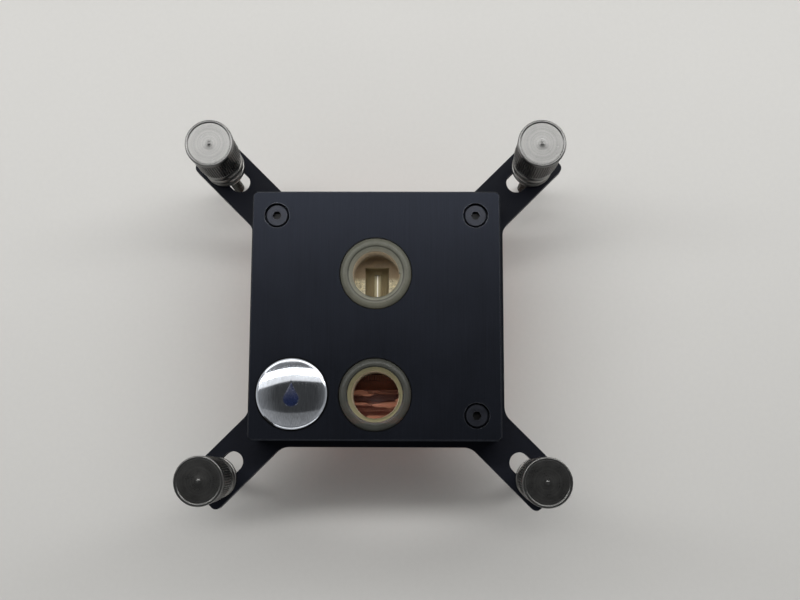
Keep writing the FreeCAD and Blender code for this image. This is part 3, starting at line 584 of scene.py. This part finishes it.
def in_mm(tree):
    """The place of a point, in millimetres."""
    place = add(tree, "ShaderNodeTexCoord")
    scaled = add(tree, "ShaderNodeVectorMath", operation="SCALE")
    scaled.inputs["Scale"].default_value = 1 / MM
    tree.links.new(place.outputs["Object"], scaled.inputs[0])
    return scaled.outputs[0]


def noise(tree, vector, detail, scale=1.0, **settings):
    """A Noise Texture node on a vector. The scale is a number or a socket."""
    new = add(tree, "ShaderNodeTexNoise", **settings)
    new.inputs["Detail"].default_value = detail
    tree.links.new(vector, new.inputs["Vector"])
    if isinstance(scale, float):
        new.inputs["Scale"].default_value = scale
    else:
        tree.links.new(scale, new.inputs["Scale"])
    return new


def put_out_tone(tree, given, out, value, average):
    """Turn a value that varies about its average into a tone that varies about one."""
    centred = arithmetic(tree, "SUBTRACT", value, average)
    swing = arithmetic(tree, "MULTIPLY", centred, given.outputs["Contrast"])
    tree.links.new(arithmetic(tree, "ADD", swing, 1.0), out.inputs["Tone"])

# %% [markdown]
# **Brushed grain.** An abrasive belt leaves scratches that are long one way and thin the other.
# Noise stretched along one axis gives that. The numbers say how many scratches there are in a
# millimetre, along X, Y and Z.

# %% Group: brushed
brushed, given, out = group("brushed", {"Across": 8, "Along": 0.15, "Depth": 8, "Contrast": 0.2},
                            ("Tone", "Height"))
scales = add(brushed, "ShaderNodeCombineXYZ")
for axis, label in enumerate(("Across", "Along", "Depth")):
    brushed.links.new(given.outputs[label], scales.inputs[axis])
stretch = add(brushed, "ShaderNodeVectorMath", operation="MULTIPLY")
brushed.links.new(in_mm(brushed), stretch.inputs[0])
brushed.links.new(scales.outputs[0], stretch.inputs[1])
scratches = noise(brushed, stretch.outputs[0], 3)
scratches.inputs["Roughness"].default_value = 0.6
put_out_tone(brushed, given, out, scratches.outputs[0], 0.5)
brushed.links.new(scratches.outputs[0], out.inputs["Height"])

# %% [markdown]
# **Turned rings.** The same idea, but the noise reads the UV map that was written on the lathe
# pieces, so it varies with distance and height and never with the angle.

# %% Group: lathe rings
rings, given, out = group("lathe_rings", {"Fineness": 5, "Contrast": 0.2}, ("Tone", "Height"))
turning = add(rings, "ShaderNodeUVMap", uv_map="turning")
spread = add(rings, "ShaderNodeVectorMath", operation="SCALE")
rings.links.new(turning.outputs[0], spread.inputs[0])
rings.links.new(given.outputs["Fineness"], spread.inputs["Scale"])
cuts = noise(rings, spread.outputs[0], 2, noise_dimensions="2D")
put_out_tone(rings, given, out, cuts.outputs[0], 0.5)
rings.links.new(cuts.outputs[0], out.inputs["Height"])

# %% [markdown]
# **Mottle.** No finish is even. A coarse cloud with a fine grain over it gives the small changes
# of tone and gloss that handling, plating and casting leave.

# %% Group: mottle
mottle, given, out = group("mottle", {"Size": 0.2, "Grain": 6, "Contrast": 0.2}, ("Tone", "Height"))
place = in_mm(mottle)
cloud = noise(mottle, place, 3, given.outputs["Size"])
grain = noise(mottle, place, 2, given.outputs["Grain"])
both = arithmetic(mottle, "ADD", cloud.outputs[0], grain.outputs[0])
put_out_tone(mottle, given, out, both, 1.0)
mottle.links.new(grain.outputs[0], out.inputs["Height"])

# %% [markdown]
# **Worn edges.** The Bevel node gives the direction that a surface would face if its edges were
# rounded. Where that differs from the true direction there is an edge, and a little noise breaks
# the line up, as wear does.

# %% Group: worn edges
worn, given, out = group("worn_edges", {"Width": 0.0002, "Strength": 3}, ("Mask",))
rounded = add(worn, "ShaderNodeBevel", samples=4)
worn.links.new(given.outputs["Width"], rounded.inputs["Radius"])
true_face = add(worn, "ShaderNodeNewGeometry")
alike = add(worn, "ShaderNodeVectorMath", operation="DOT_PRODUCT")
worn.links.new(rounded.outputs[0], alike.inputs[0])
worn.links.new(true_face.outputs["Normal"], alike.inputs[1])
unlike = arithmetic(worn, "SUBTRACT", 1.0, alike.outputs["Value"])
CHIPS_IN_MM = 0.9
chips = noise(worn, in_mm(worn), 3, CHIPS_IN_MM)
broken = arithmetic(worn, "MULTIPLY", unlike, chips.outputs[0])
strong = arithmetic(worn, "MULTIPLY", broken, given.outputs["Strength"])
worn.links.new(arithmetic(worn, "MINIMUM", strong, 1.0), out.inputs["Mask"])
print("effects:", [tree.name for tree in bpy.data.node_groups])

# %% [markdown]
# ## Finishes of the pieces
#
# Every finish starts from the same few lines: a Principled shader with its plain numbers set on
# its own sockets. Then tones from the groups are multiplied into the colour and the roughness,
# and a height goes through one Bump node into the normal.

# %% A helper that starts a finish
def finish(name, colour, roughness, metallic=0.0, **plain):
    """A new material with a Principled shader whose constant sockets are set."""
    material = bpy.data.materials.new(name)
    material.use_nodes = True
    tree = material.node_tree
    shader = tree.nodes["Principled BSDF"]
    shader.inputs["Base Color"].default_value = (*colour, 1)
    shader.inputs["Roughness"].default_value = roughness
    shader.inputs["Metallic"].default_value = metallic
    for label, value in plain.items():
        shader.inputs[label.replace("_", " ")].default_value = value
    return material, tree, shader


def effect(tree, made_group, **numbers):
    """Place a shared effect in a material, with its own numbers."""
    new = add(tree, "ShaderNodeGroup", node_tree=made_group)
    for label, value in numbers.items():
        new.inputs[label].default_value = value
    return new


def tint(tree, colour, *tones):
    """A colour made lighter and darker by one or more tones."""
    start = add(tree, "ShaderNodeRGB")
    start.outputs[0].default_value = (*colour, 1)
    now = start.outputs[0]
    for tone in tones:
        scaled = add(tree, "ShaderNodeVectorMath", operation="SCALE")
        tree.links.new(now, scaled.inputs[0])
        tree.links.new(tone, scaled.inputs["Scale"])
        now = scaled.outputs[0]
    return now


def blend(tree, mask, below, above):
    """One colour below another, by a mask."""
    mixed = add(tree, "ShaderNodeMix", data_type="RGBA")
    tree.links.new(mask, mixed.inputs["Factor"])
    # A Mix node has sockets of every kind: its colours go in at 6 and 7, and come out at 2.
    for socket, value in ((mixed.inputs[6], below), (mixed.inputs[7], above)):
        if isinstance(value, tuple):
            socket.default_value = (*value, 1)
        else:
            tree.links.new(value, socket)
    return mixed.outputs[2]


def surface(tree, shader, colour, gloss, relief, depth):
    """Link a colour, a roughness that varies with one effect, and a bump from another."""
    tree.links.new(colour, shader.inputs["Base Color"])
    rough = shader.inputs["Roughness"]
    tree.links.new(arithmetic(tree, "MULTIPLY", gloss.outputs["Tone"], rough.default_value), rough)
    raised = add(tree, "ShaderNodeBump")
    raised.inputs["Distance"].default_value = depth * MM
    tree.links.new(relief.outputs["Height"], raised.inputs["Height"])
    tree.links.new(raised.outputs[0], shader.inputs["Normal"])


def axes(tree):
    """The X, Y and Z of a point, in metres, as three sockets."""
    place = add(tree, "ShaderNodeTexCoord")
    parts = add(tree, "ShaderNodeSeparateXYZ")
    tree.links.new(place.outputs["Object"], parts.inputs[0])
    return parts.outputs


def nearest(tree, *middles):
    """Distance in mm, seen from above, to the nearest of some upright axes."""
    place = in_mm(tree)
    found = None
    for across, along in middles:
        offset = add(tree, "ShaderNodeVectorMath", operation="SUBTRACT")
        offset.inputs[1].default_value = (across / MM, along / MM, 0)
        tree.links.new(place, offset.inputs[0])
        flat = add(tree, "ShaderNodeVectorMath", operation="MULTIPLY")
        flat.inputs[1].default_value = (1, 1, 0)
        tree.links.new(offset.outputs[0], flat.inputs[0])
        away = add(tree, "ShaderNodeVectorMath", operation="LENGTH")
        tree.links.new(flat.outputs[0], away.inputs[0])
        far = away.outputs["Value"]
        found = far if found is None else arithmetic(tree, "MINIMUM", found, far)
    return found


def coat_node(material, *names):
    """Give a finish to nodes or pieces, in all their slots."""
    for name in names:
        piece = frame["nodes"].get(name) or bpy.data.objects[name]
        if not piece.data.materials:
            piece.data.materials.append(material)
        for slot in piece.material_slots:
            slot.material = material

# %% [markdown]
# ** The cover** is black anodised aluminium, brushed from front to rear. The anodising keeps the
# metal's sheen, so it is a dark metal and not a black paint. The scratches are very fine. They
# show as a slight streak of tone, and they spread the lamp's reflection sideways. A thin black
# ring is painted round the three large holes, as painted shade of the gaps around them.

# %% Cover: brushed black anodising
ports = {name: port_mount[name]["pos_m"][:2] for name in ("inlet_port", "outlet_port")}
COVER_BLACK = (0.0090, 0.0108, 0.0162)
black_anodised, tree, shader = finish("brushed_black_anodising", COVER_BLACK, 0.38, 0.85)
streaks = effect(tree, brushed, Across=9, Along=0.09, Depth=9, Contrast=0.9)
clouds = effect(tree, mottle, Size=0.05, Grain=9, Contrast=0.35)
edges = effect(tree, worn, Width=0.00022, Strength=3.0)
dark = tint(tree, COVER_BLACK, streaks.outputs["Tone"], clouds.outputs["Tone"])
worn_black = blend(tree, edges.outputs[0], dark, (0.20, 0.21, 0.23))
# A black ring painted round each hole: painted shade of its gap.
HOLE_SHADE_RADIUS = 9.0
away = nearest(tree, ports["inlet_port"], ports["outlet_port"], badge_middle)
outside_hole_shade = ranged(tree, away, HOLE_SHADE_RADIUS - 0.1, HOLE_SHADE_RADIUS + 0.1, 0.06, 1.0)
hole_shaded = add(tree, "ShaderNodeVectorMath", operation="SCALE")
tree.links.new(worn_black, hole_shaded.inputs[0])
tree.links.new(outside_hole_shade, hole_shaded.inputs["Scale"])
surface(tree, shader, hole_shaded.outputs[0], clouds, streaks, 0.012)
coat_node(black_anodised, "top_cover")

# %% [markdown]
# **The bracket** is sheet steel with a baked black coat. It is duller than the cover and has no
# grain, only the faint orange peel of a coat that flowed before it set.

# %% Bracket: baked black coat
BRACKET_BLACK = (0.0050, 0.0060, 0.0105)
black_coat, tree, shader = finish("baked_black_coat", BRACKET_BLACK, 0.55, Specular_IOR_Level=0.12)
peel = effect(tree, mottle, Size=0.25, Grain=1.6, Contrast=0.5)
edges = effect(tree, worn, Width=0.00025, Strength=2.5)
dark = tint(tree, BRACKET_BLACK, peel.outputs["Tone"])
surface(tree, shader, blend(tree, edges.outputs[0], dark, (0.11, 0.11, 0.12)), peel, peel, 0.02)
coat_node(black_coat, "mounting_bracket")

# %% [markdown]
# **The copper** has been fly-cut and then lapped. It is a warm metal whose fine grain runs one
# way, with slightly browner patches where it has begun to tarnish.

# %% Copper
COPPER = (0.82, 0.36, 0.24)
copper, tree, shader = finish("lapped_copper", COPPER, 0.45, 0.6)
lapped = effect(tree, brushed, Across=0.25, Along=9, Depth=5, Contrast=0.35)
tarnish = effect(tree, mottle, Size=0.12, Grain=2.5, Contrast=0.5)
metal = tint(tree, COPPER, lapped.outputs["Tone"], tarnish.outputs["Tone"])
surface(tree, shader, metal, tarnish, lapped, 0.008)
coat_node(copper, "cold_plate")

# %% [markdown]
# ** The manifold** is milled from clear acrylic. Milling leaves it milky rather than clear, and it
# takes a slight olive tone. A full glass shader would let no lamp reach the copper below it, so
# the milkiness is an ordinary surface and the clearness is its alpha. A colour ramp over the
# distance from a port's axis draws the faces of the bosses: the fine steps that the cutter left,
# a lighter wall and chamfer as painted highlights, and a dark line at the mouth as painted shade.
# The colours of a ramp stop at one, so the tones go in halved and are doubled after it.

# %% Acrylic: the bosses
MISTY = (0.120, 0.120, 0.095)
acrylic, tree, shader = finish("milled_acrylic", MISTY, 0.38, IOR=1.49, Specular_IOR_Level=0.3)
milled = effect(tree, mottle, Size=0.6, Grain=9, Contrast=0.5)
along, high = axes(tree)[1:]
from_axis = nearest(tree, ports["inlet_port"], ports["outlet_port"])
BOSS_RADIUS = 8.7
MOUTH_RADIUS = 6.7
MOUTH_DEPTH = 1.0
BETWEEN_PORTS = -5
# Tones by radius: cutter steps, painted highlights on the wall and chamfer, and a painted shade line at
# the mouth.
STEPS_AND_SHADING = [(0.0, 1.4), (6.6, 1.6), (6.76, 0.42), (6.94, 0.45), (7.06, 0.95), (7.5, 1.02), (7.56, 0.62),
         (7.64, 1.08), (8.3, 0.92), (8.36, 0.72), (8.42, 1.0), (8.6, 1.05), (8.7, 0.8)]
share = arithmetic(tree, "DIVIDE", from_axis, BOSS_RADIUS)
ramp = add(tree, "ShaderNodeValToRGB")
stops = ramp.color_ramp.elements
stops.remove(stops[1])
for number, (radius, tone) in enumerate(STEPS_AND_SHADING):
    stop = stops[0] if number == 0 else stops.new(radius / BOSS_RADIUS)
    stop.color = (tone / 2, tone / 2, tone / 2, 1)
tree.links.new(share, ramp.inputs[0])
steps_and_shading = arithmetic(tree, "MULTIPLY", ramp.outputs[0], 2.0)
misty = tint(tree, MISTY, milled.outputs["Tone"], steps_and_shading)
at_outlet = arithmetic(tree, "LESS_THAN", along, BETWEEN_PORTS * MM)
in_mouth = arithmetic(tree, "LESS_THAN", from_axis, MOUTH_RADIUS)
olive_mouth = tint(tree, (0.12, 0.108, 0.058), milled.outputs["Tone"], steps_and_shading)
grey_face = tint(tree, (0.050, 0.051, 0.043), milled.outputs["Tone"], steps_and_shading)
outlet_tone = blend(tree, in_mouth, grey_face, olive_mouth)
rims = blend(tree, at_outlet, misty, outlet_tone)
mouth_low = level("manifold", 1) - MOUTH_DEPTH * MM
deep = ranged(tree, high, mouth_low, mouth_low - 0.5 * MM, 0.0, 1.0)
inside = arithmetic(tree, "LESS_THAN", from_axis, MOUTH_RADIUS - 0.2)
in_bore = arithmetic(tree, "MULTIPLY", deep, inside)
walls = blend(tree, in_bore, rims, tint(tree, (0.36, 0.285, 0.19), milled.outputs["Tone"]))

# %% [markdown]
# The floors of the ports differ. In the inlet it is stepped at the rear, where the drill ran out,
# and painted brown there as painted shade; towards the front it is painted cream as painted light,
# rough at both sides of a polished trough. In the outlet it is clear enough to show the copper,
# the seal and the ends of the fins, and long pink streaks are painted on it as painted reflections
# of the lamp on the copper.

# %% Acrylic: the floors
# The inlet's floor: painted cream towards the front as painted light, brown at the rear as painted shade.
SHADED_BROWN_FLOOR = (0.40, 0.30, 0.19)
LIT_CREAM_FLOOR = (0.74, 0.66, 0.44)
TROUGH = (0.28, 0.225, 0.12)
inlet = port_mount["inlet_port"]
inlet_floor = inlet["pos_m"][2] - inlet["dims"]["length_mm"] / 2 * MM
inlet_y = inlet["pos_m"][1]
on_floor = arithmetic(tree, "LESS_THAN", high, inlet_floor + 0.2 * MM)
in_trough = arithmetic(tree, "LESS_THAN", high, inlet_floor - 0.12 * MM)
# From front to rear: painted light to painted shade.
lit_towards_front = ranged(tree, along, inlet_y + 0.6 * MM, inlet_y - 0.6 * MM, 0.0, 1.0)
speckled = effect(tree, mottle, Size=1.5, Grain=4.5, Contrast=1.6)
lit_cream = tint(tree, LIT_CREAM_FLOOR, speckled.outputs["Tone"])
shaded_brown = tint(tree, SHADED_BROWN_FLOOR, milled.outputs["Tone"])
floor_light_and_shade = blend(tree, lit_towards_front, shaded_brown, lit_cream)
inlet_colour = blend(tree, in_trough, floor_light_and_shade, TROUGH)
# Pink streaks painted on the outlet's floor: painted reflections of the lamp on the copper.
streak_place = add(tree, "ShaderNodeVectorMath", operation="MULTIPLY")
streak_place.inputs[1].default_value = (0.13, 0.62, 0.0)
tree.links.new(in_mm(tree), streak_place.inputs[0])
streaks = noise(tree, streak_place.outputs[0], 1)
painted_reflection_streaks = ranged(tree, streaks.outputs[0], 0.55, 0.60, 0.0, 1.0)
outlet_colour = blend(tree, painted_reflection_streaks, (0.12, 0.040, 0.028), (0.56, 0.24, 0.15))
floors = blend(tree, at_outlet, inlet_colour, outlet_colour)
surface(tree, shader, blend(tree, on_floor, walls, floors), milled, milled, 0.006)
print("inlet floor at", round(inlet_floor / MM, 2), "mm")

# %% [markdown]
# The walls are nearly solid, and the outlet's floor is the clearest. A ray towards a lamp passes
# almost freely, so that the light still reaches the copper.

# %% Acrylic: how much shows through
WALL_ALPHA = 0.86
cloudiness = add(tree, "ShaderNodeMix", data_type="FLOAT")
cloudiness.inputs[2].default_value = WALL_ALPHA
tree.links.new(arithmetic(tree, "MULTIPLY", on_floor, at_outlet), cloudiness.inputs[0])
tree.links.new(ranged(tree, painted_reflection_streaks, 0.0, 1.0, 0.30, 0.62), cloudiness.inputs[3])
shadow_ray = add(tree, "ShaderNodeLightPath").outputs["Is Shadow Ray"]
held_back = ranged(tree, shadow_ray, 0.0, 1.0, 1.0, 0.08)
alpha = arithmetic(tree, "MULTIPLY", cloudiness.outputs[0], held_back)
tree.links.new(alpha, shader.inputs["Alpha"])
coat_node(acrylic, "manifold", "tapped_manifold")

# %% [markdown]
# **Steel and plating.** The nuts are nickel plated over a turned surface. The rings are far finer
# than one can count, yet they decide how the nut shines: they spread the lamp outwards from the
# axis, so a flat cap shows a bright wedge instead of an even glow. A height along the radius does
# that without any special shader.

# %% Where the knurl holds grime, with painted shade under the cap
def grime_and_undercut_shade(tree):
    """Nought in the knurl's grooves, as grime, and in the band under the cap, as painted shade; one
    everywhere else.
    """
    turning = add(tree, "ShaderNodeUVMap", uv_map="turning")
    parts = add(tree, "ShaderNodeSeparateXYZ")
    tree.links.new(turning.outputs[0], parts.inputs[0])
    away, high = parts.outputs[:2]
    depth = ranged(tree, away, BARREL_RADIUS - 0.27, BARREL_RADIUS - 0.06, 0.0, 1.0)
    on_cap = ranged(tree, high, CAP_LOW + 0.55, CAP_LOW + 0.7, 0.0, 1.0)
    below = arithmetic(tree, "LESS_THAN", high, KNURL_LOW - 0.1)
    outside = arithmetic(tree, "MAXIMUM", on_cap, below)
    knurl = arithmetic(tree, "MAXIMUM", depth, outside)
    barrel_end = arithmetic(tree, "LESS_THAN", high, KNURL_HIGH + 0.05)
    clear_of_cut = arithmetic(tree, "MAXIMUM", on_cap, barrel_end)
    return arithmetic(tree, "MINIMUM", knurl, clear_of_cut)


# %% Nuts: turned nickel
NICKEL = (0.122, 0.121, 0.117)
turned_nickel, tree, shader = finish("turned_nickel", NICKEL, 0.30, 1.0)
cut_rings = effect(tree, rings, Fineness=9, Contrast=0.7)
handling = effect(tree, mottle, Size=0.45, Grain=3.6, Contrast=0.32)
metal = tint(tree, NICKEL, cut_rings.outputs["Tone"], handling.outputs["Tone"])
# Grime in the knurl's grooves, and painted shade in the band under the cap.
grimy_and_shaded = blend(tree, grime_and_undercut_shade(tree), (0.03, 0.029, 0.026), metal)
surface(tree, shader, grimy_and_shaded, handling, cut_rings, 0.008)
coat_node(turned_nickel, *(piece.name for piece in nuts))

# %% Feet: turned steel
STEEL = (0.30, 0.295, 0.28)
turned_steel, tree, shader = finish("turned_steel", STEEL, 0.36, 1.0)
cut_rings = effect(tree, rings, Fineness=6, Contrast=0.4)
handling = effect(tree, mottle, Size=0.5, Grain=6, Contrast=0.4)
metal = tint(tree, STEEL, cut_rings.outputs["Tone"], handling.outputs["Tone"])
surface(tree, shader, metal, handling, cut_rings, 0.006)
coat_node(turned_steel, *(piece.name for piece in feet))

# %% [markdown]
# **The studs** are blackened and oiled, as stock threaded rod is, so they are darker than the
# feet that they stand in. Wear brings the crests of the thread back to grey.

# %% Studs: oiled steel
OILED = (0.045, 0.042, 0.036)
oiled_steel, tree, shader = finish("oiled_steel", OILED, 0.34, 1.0)
oil_film = effect(tree, mottle, Size=0.6, Grain=5, Contrast=0.6)
edges = effect(tree, worn, Width=0.0001, Strength=2.0)
metal = tint(tree, OILED, oil_film.outputs["Tone"])
worn_crests = blend(tree, edges.outputs[0], metal, (0.36, 0.35, 0.33))
surface(tree, shader, worn_crests, oil_film, oil_film, 0.006)
coat_node(oiled_steel, *(piece.name for piece in studs))

# %% [markdown]
# ** The small steel pieces** that aren't turned, the springs and the jet plate, are plain drawn or
# rolled steel. They share a finish with a grain along their length and a little mottle. The jet
# plate is painted brown as painted shade, and only a fine line along its middle is left bright,
# as a painted highlight.

# %% Plain steel
PLAIN = (0.72, 0.70, 0.62)
plain_steel, tree, shader = finish("plain_steel", PLAIN, 0.32, 1.0)
rolled = effect(tree, brushed, Across=5, Along=0.3, Depth=5, Contrast=0.4)
handling = effect(tree, mottle, Size=0.4, Grain=5, Contrast=0.4)
metal = tint(tree, PLAIN, rolled.outputs["Tone"], handling.outputs["Tone"])
# The jet plate is painted brown as painted shade, leaving a thin painted highlight along its middle.
JET_PLATE_REACH = 16
sideways = arithmetic(tree, "ABSOLUTE", axes(tree)[0], 0.0)
off_highlight_line = ranged(tree, sideways, 0.08 * MM, 0.18 * MM, 0.0, 1.0)
on_plate = arithmetic(tree, "LESS_THAN", sideways, JET_PLATE_REACH * MM)
painted_plate_shade = arithmetic(tree, "MULTIPLY", off_highlight_line, on_plate)
plate_shaded = blend(tree, painted_plate_shade, metal, (0.30, 0.26, 0.16))
surface(tree, shader, plate_shaded, handling, rolled, 0.006)
coat_node(plain_steel, "jet_plate", *(f"spring_{corner}" for corner in CORNERS))

# %% [markdown]
# **The badge** is chromed and polished over a faint upright grain, much brighter than the black
# around it. Its enamel is a deep blue glaze under a clear coat.

# %% Badge: chrome and enamel
CHROME = (0.76, 0.79, 0.84)
chrome, tree, shader = finish("polished_chrome", CHROME, 0.08, 1.0)
polish = effect(tree, brushed, Across=5, Along=0.25, Depth=5, Contrast=0.7)
handling = effect(tree, mottle, Size=0.3, Grain=6, Contrast=0.25)
metal = tint(tree, CHROME, polish.outputs["Tone"], handling.outputs["Tone"])
surface(tree, shader, metal, handling, polish, 0.006)
coat_node(chrome, "domed_badge")

ENAMEL = (0.006, 0.012, 0.045)
blue_enamel, tree, shader = finish("blue_enamel", ENAMEL, 0.25, 0.0, Coat_Weight=1.0, Coat_Roughness=0.06)
glaze = effect(tree, mottle, Size=0.8, Grain=7, Contrast=0.6)
surface(tree, shader, tint(tree, ENAMEL, glaze.outputs["Tone"]), glaze, glaze, 0.01)
coat_node(blue_enamel, "badge_enamel")

# %% [markdown]
# ** The screws** are alloy steel with a black oxide, which is a little oily and bluish. The edges
# of the hexagon and the head wear back to grey first. Deep in the sockets, from a little way below
# the heads, the finish is painted black as painted shade, where oil and dust settle too.

# %% Screws: black oxide
OXIDE = (0.019, 0.021, 0.028)
black_oxide, tree, shader = finish("black_oxide", OXIDE, 0.36, 0.7)
oily = effect(tree, mottle, Size=0.5, Grain=6, Contrast=0.6)
edges = effect(tree, worn, Width=0.00012, Strength=3.0)
dark = tint(tree, OXIDE, oily.outputs["Tone"])
worn_oxide = blend(tree, edges.outputs[0], dark, (0.15, 0.15, 0.16))
high = axes(tree)[2]
head_top = level("cover_screw_1", 1)
# Painted shade: black from a little way below the head's top, deep in the socket.
above_socket_shade = ranged(tree, high, head_top - 0.9 * MM, head_top - 0.3 * MM, 0.0, 1.0)
below_screw = arithmetic(tree, "LESS_THAN", high, level("cover_screw_1", 0))
clear_of_socket_shade = arithmetic(tree, "MAXIMUM", above_socket_shade, below_screw)
socket_shaded = blend(tree, clear_of_socket_shade, (0.002, 0.002, 0.002), worn_oxide)
surface(tree, shader, socket_shaded, oily, oily, 0.01)
screws = [name for name in frame["nodes"] if "screw_" in name]
coat_node(black_oxide, *screws)

# %% [markdown]
# **Soft pieces.** The O-ring is reddish brown silicone with a trace of grease, and the badge's pad
# is grey adhesive foam, full of small pits.

# %% Rubber and foam
RUBBER = (0.075, 0.024, 0.016)
rubber, tree, shader = finish("greased_silicone", RUBBER, 0.4)
skin = effect(tree, mottle, Size=0.4, Grain=5, Contrast=0.6)
surface(tree, shader, tint(tree, RUBBER, skin.outputs["Tone"]), skin, skin, 0.02)
coat_node(rubber, "o_ring")

FOAM = (0.10, 0.10, 0.10)
foam, tree, shader = finish("adhesive_foam", FOAM, 0.85)
pits = effect(tree, mottle, Size=1.5, Grain=4, Contrast=0.8)
surface(tree, shader, tint(tree, FOAM, pits.outputs["Tone"]), pits, pits, 0.08)
coat_node(foam, "badge_pad")
print("finishes:", len(bpy.data.materials))

# %% [markdown]
# ## The table and the light
#
# The piece stands on a pale table, on the tips of its four studs. Most of the light is broad,
# soft and comes from the rear: a long panel overhead with its dim reflector beside it, and a pale
# wall behind. Two faint ones in front only draw the near half of the badge and its edge. Straight
# overhead the room is dark, and that shows in the middle of the badge. Far from the piece the
# table fades into the pale room, for the eye and for reflections alike, so that no view has a
# hard horizon.

# %% What the eye sees
def looked_at(tree):
    """One for what the eye sees, straight on, in a reflection or through the acrylic."""
    ray = add(tree, "ShaderNodeLightPath")
    glossy, through = ray.outputs["Is Glossy Ray"], ray.outputs["Is Transmission Ray"]
    mirrored = arithmetic(tree, "MAXIMUM", glossy, through)
    return arithmetic(tree, "MAXIMUM", ray.outputs["Is Camera Ray"], mirrored)

# %% Table
ROOM_PALE = 0.72
ROOM_TINT = (0.96, 0.98, 1.0, 1)
clear()
bpy.ops.mesh.primitive_plane_add(size=4, location=(0, 0, cad_box[0][2]))
table = bpy.context.object
table.name = "table"
bpy.ops.object.mode_set(mode="EDIT")
bpy.ops.mesh.subdivide(number_cuts=3)
bpy.ops.object.mode_set(mode="OBJECT")
TABLE = (0.62, 0.61, 0.585)
pale_table, tree, shader = finish("pale_table", TABLE, 0.6)
paper = effect(tree, mottle, Size=0.02, Grain=0.8, Contrast=0.04)
tree.links.new(tint(tree, TABLE, paper.outputs["Tone"]), shader.inputs["Base Color"])
from_middle = add(tree, "ShaderNodeTexCoord")
distance = add(tree, "ShaderNodeVectorMath", operation="LENGTH")
tree.links.new(from_middle.outputs["Object"], distance.inputs[0])
far = add(tree, "ShaderNodeMapRange", None, 0.25, 0.9, 0.0, 1.0, interpolation_type="SMOOTHSTEP")
tree.links.new(distance.outputs["Value"], far.inputs[0])
fade = arithmetic(tree, "MULTIPLY", far.outputs[0], looked_at(tree))
haze = add(tree, "ShaderNodeEmission", ROOM_TINT, ROOM_PALE)
mixed = add(tree, "ShaderNodeMixShader")
tree.links.new(fade, mixed.inputs[0])
tree.links.new(shader.outputs[0], mixed.inputs[1])
tree.links.new(haze.outputs[0], mixed.inputs[2])
tree.links.new(mixed.outputs[0], tree.nodes["Material Output"].inputs["Surface"])
coat_node(pale_table, "table")

# %% Lamps
def lamp(name, place, size_x, size_y, power, colour=(1, 1, 1)):
    """A soft rectangular lamp that faces the middle of the piece."""
    clear()
    bpy.ops.object.light_add(type="AREA", location=place)
    made = bpy.context.object
    made.name = name
    made.data.shape = "RECTANGLE"
    made.data.size = size_x
    made.data.size_y = size_y
    made.data.energy = power
    made.data.color = colour
    aim = Vector((0, 0, 0.01)) - Vector(place)
    made.rotation_euler = aim.to_track_quat("-Z", "Y").to_euler()
    made.visible_camera = False


lamp("ceiling_panel", (-0.01, 0.164, 0.36), 1.00, 0.050, 1.70)
lamp("panel_reflector", (-0.01, 0.108, 0.36), 1.00, 0.062, 0.17)
lamp("rear_wall", (0.0, 0.475, 0.40), 1.40, 0.23, 1.35, (1.0, 0.99, 0.97))
lamp("front_wall", (0.0, -0.60, 0.42), 1.30, 0.06, 0.26)
lamp("front_panel", (0.0, -0.20, 0.36), 0.80, 0.13, 0.040)

# %% World
SIDE_GLOW = 0.435
OVERHEAD_GLOW = 0.045
world = bpy.data.worlds.new("room")
bpy.context.scene.world = world
world.use_nodes = True
tree = world.node_tree
background = tree.nodes["Background"]
direction = add(tree, "ShaderNodeTexCoord")
parts = add(tree, "ShaderNodeSeparateXYZ")
tree.links.new(direction.outputs["Generated"], parts.inputs[0])
upwards = parts.outputs[2]
glow = ranged(tree, upwards, 0.40, 0.92, SIDE_GLOW, OVERHEAD_GLOW)
horizon = ranged(tree, upwards, 0.08, 0.40, ROOM_PALE - SIDE_GLOW, 0.0)
paler = arithmetic(tree, "MULTIPLY", horizon, looked_at(tree))
tree.links.new(arithmetic(tree, "ADD", glow, paler), background.inputs["Strength"])
background.inputs["Color"].default_value = ROOM_TINT

# %% [markdown]
# ## The camera
#
# The view is from almost straight above, some 30 mm forward of the middle, and close enough for
# the nuts to lean outwards a little.

# %% Camera
clear()
bpy.ops.object.camera_add(location=(0.00892, -0.03068, 0.2616), rotation=(0.1401, 0.0116, 0.0037))
camera = bpy.context.object
camera.name = "camera"
camera.data.sensor_width = 36
camera.data.lens = 45
camera.data.clip_start = 0.01
bpy.context.scene.camera = camera
bpy.context.scene.view_settings.view_transform = "Standard"
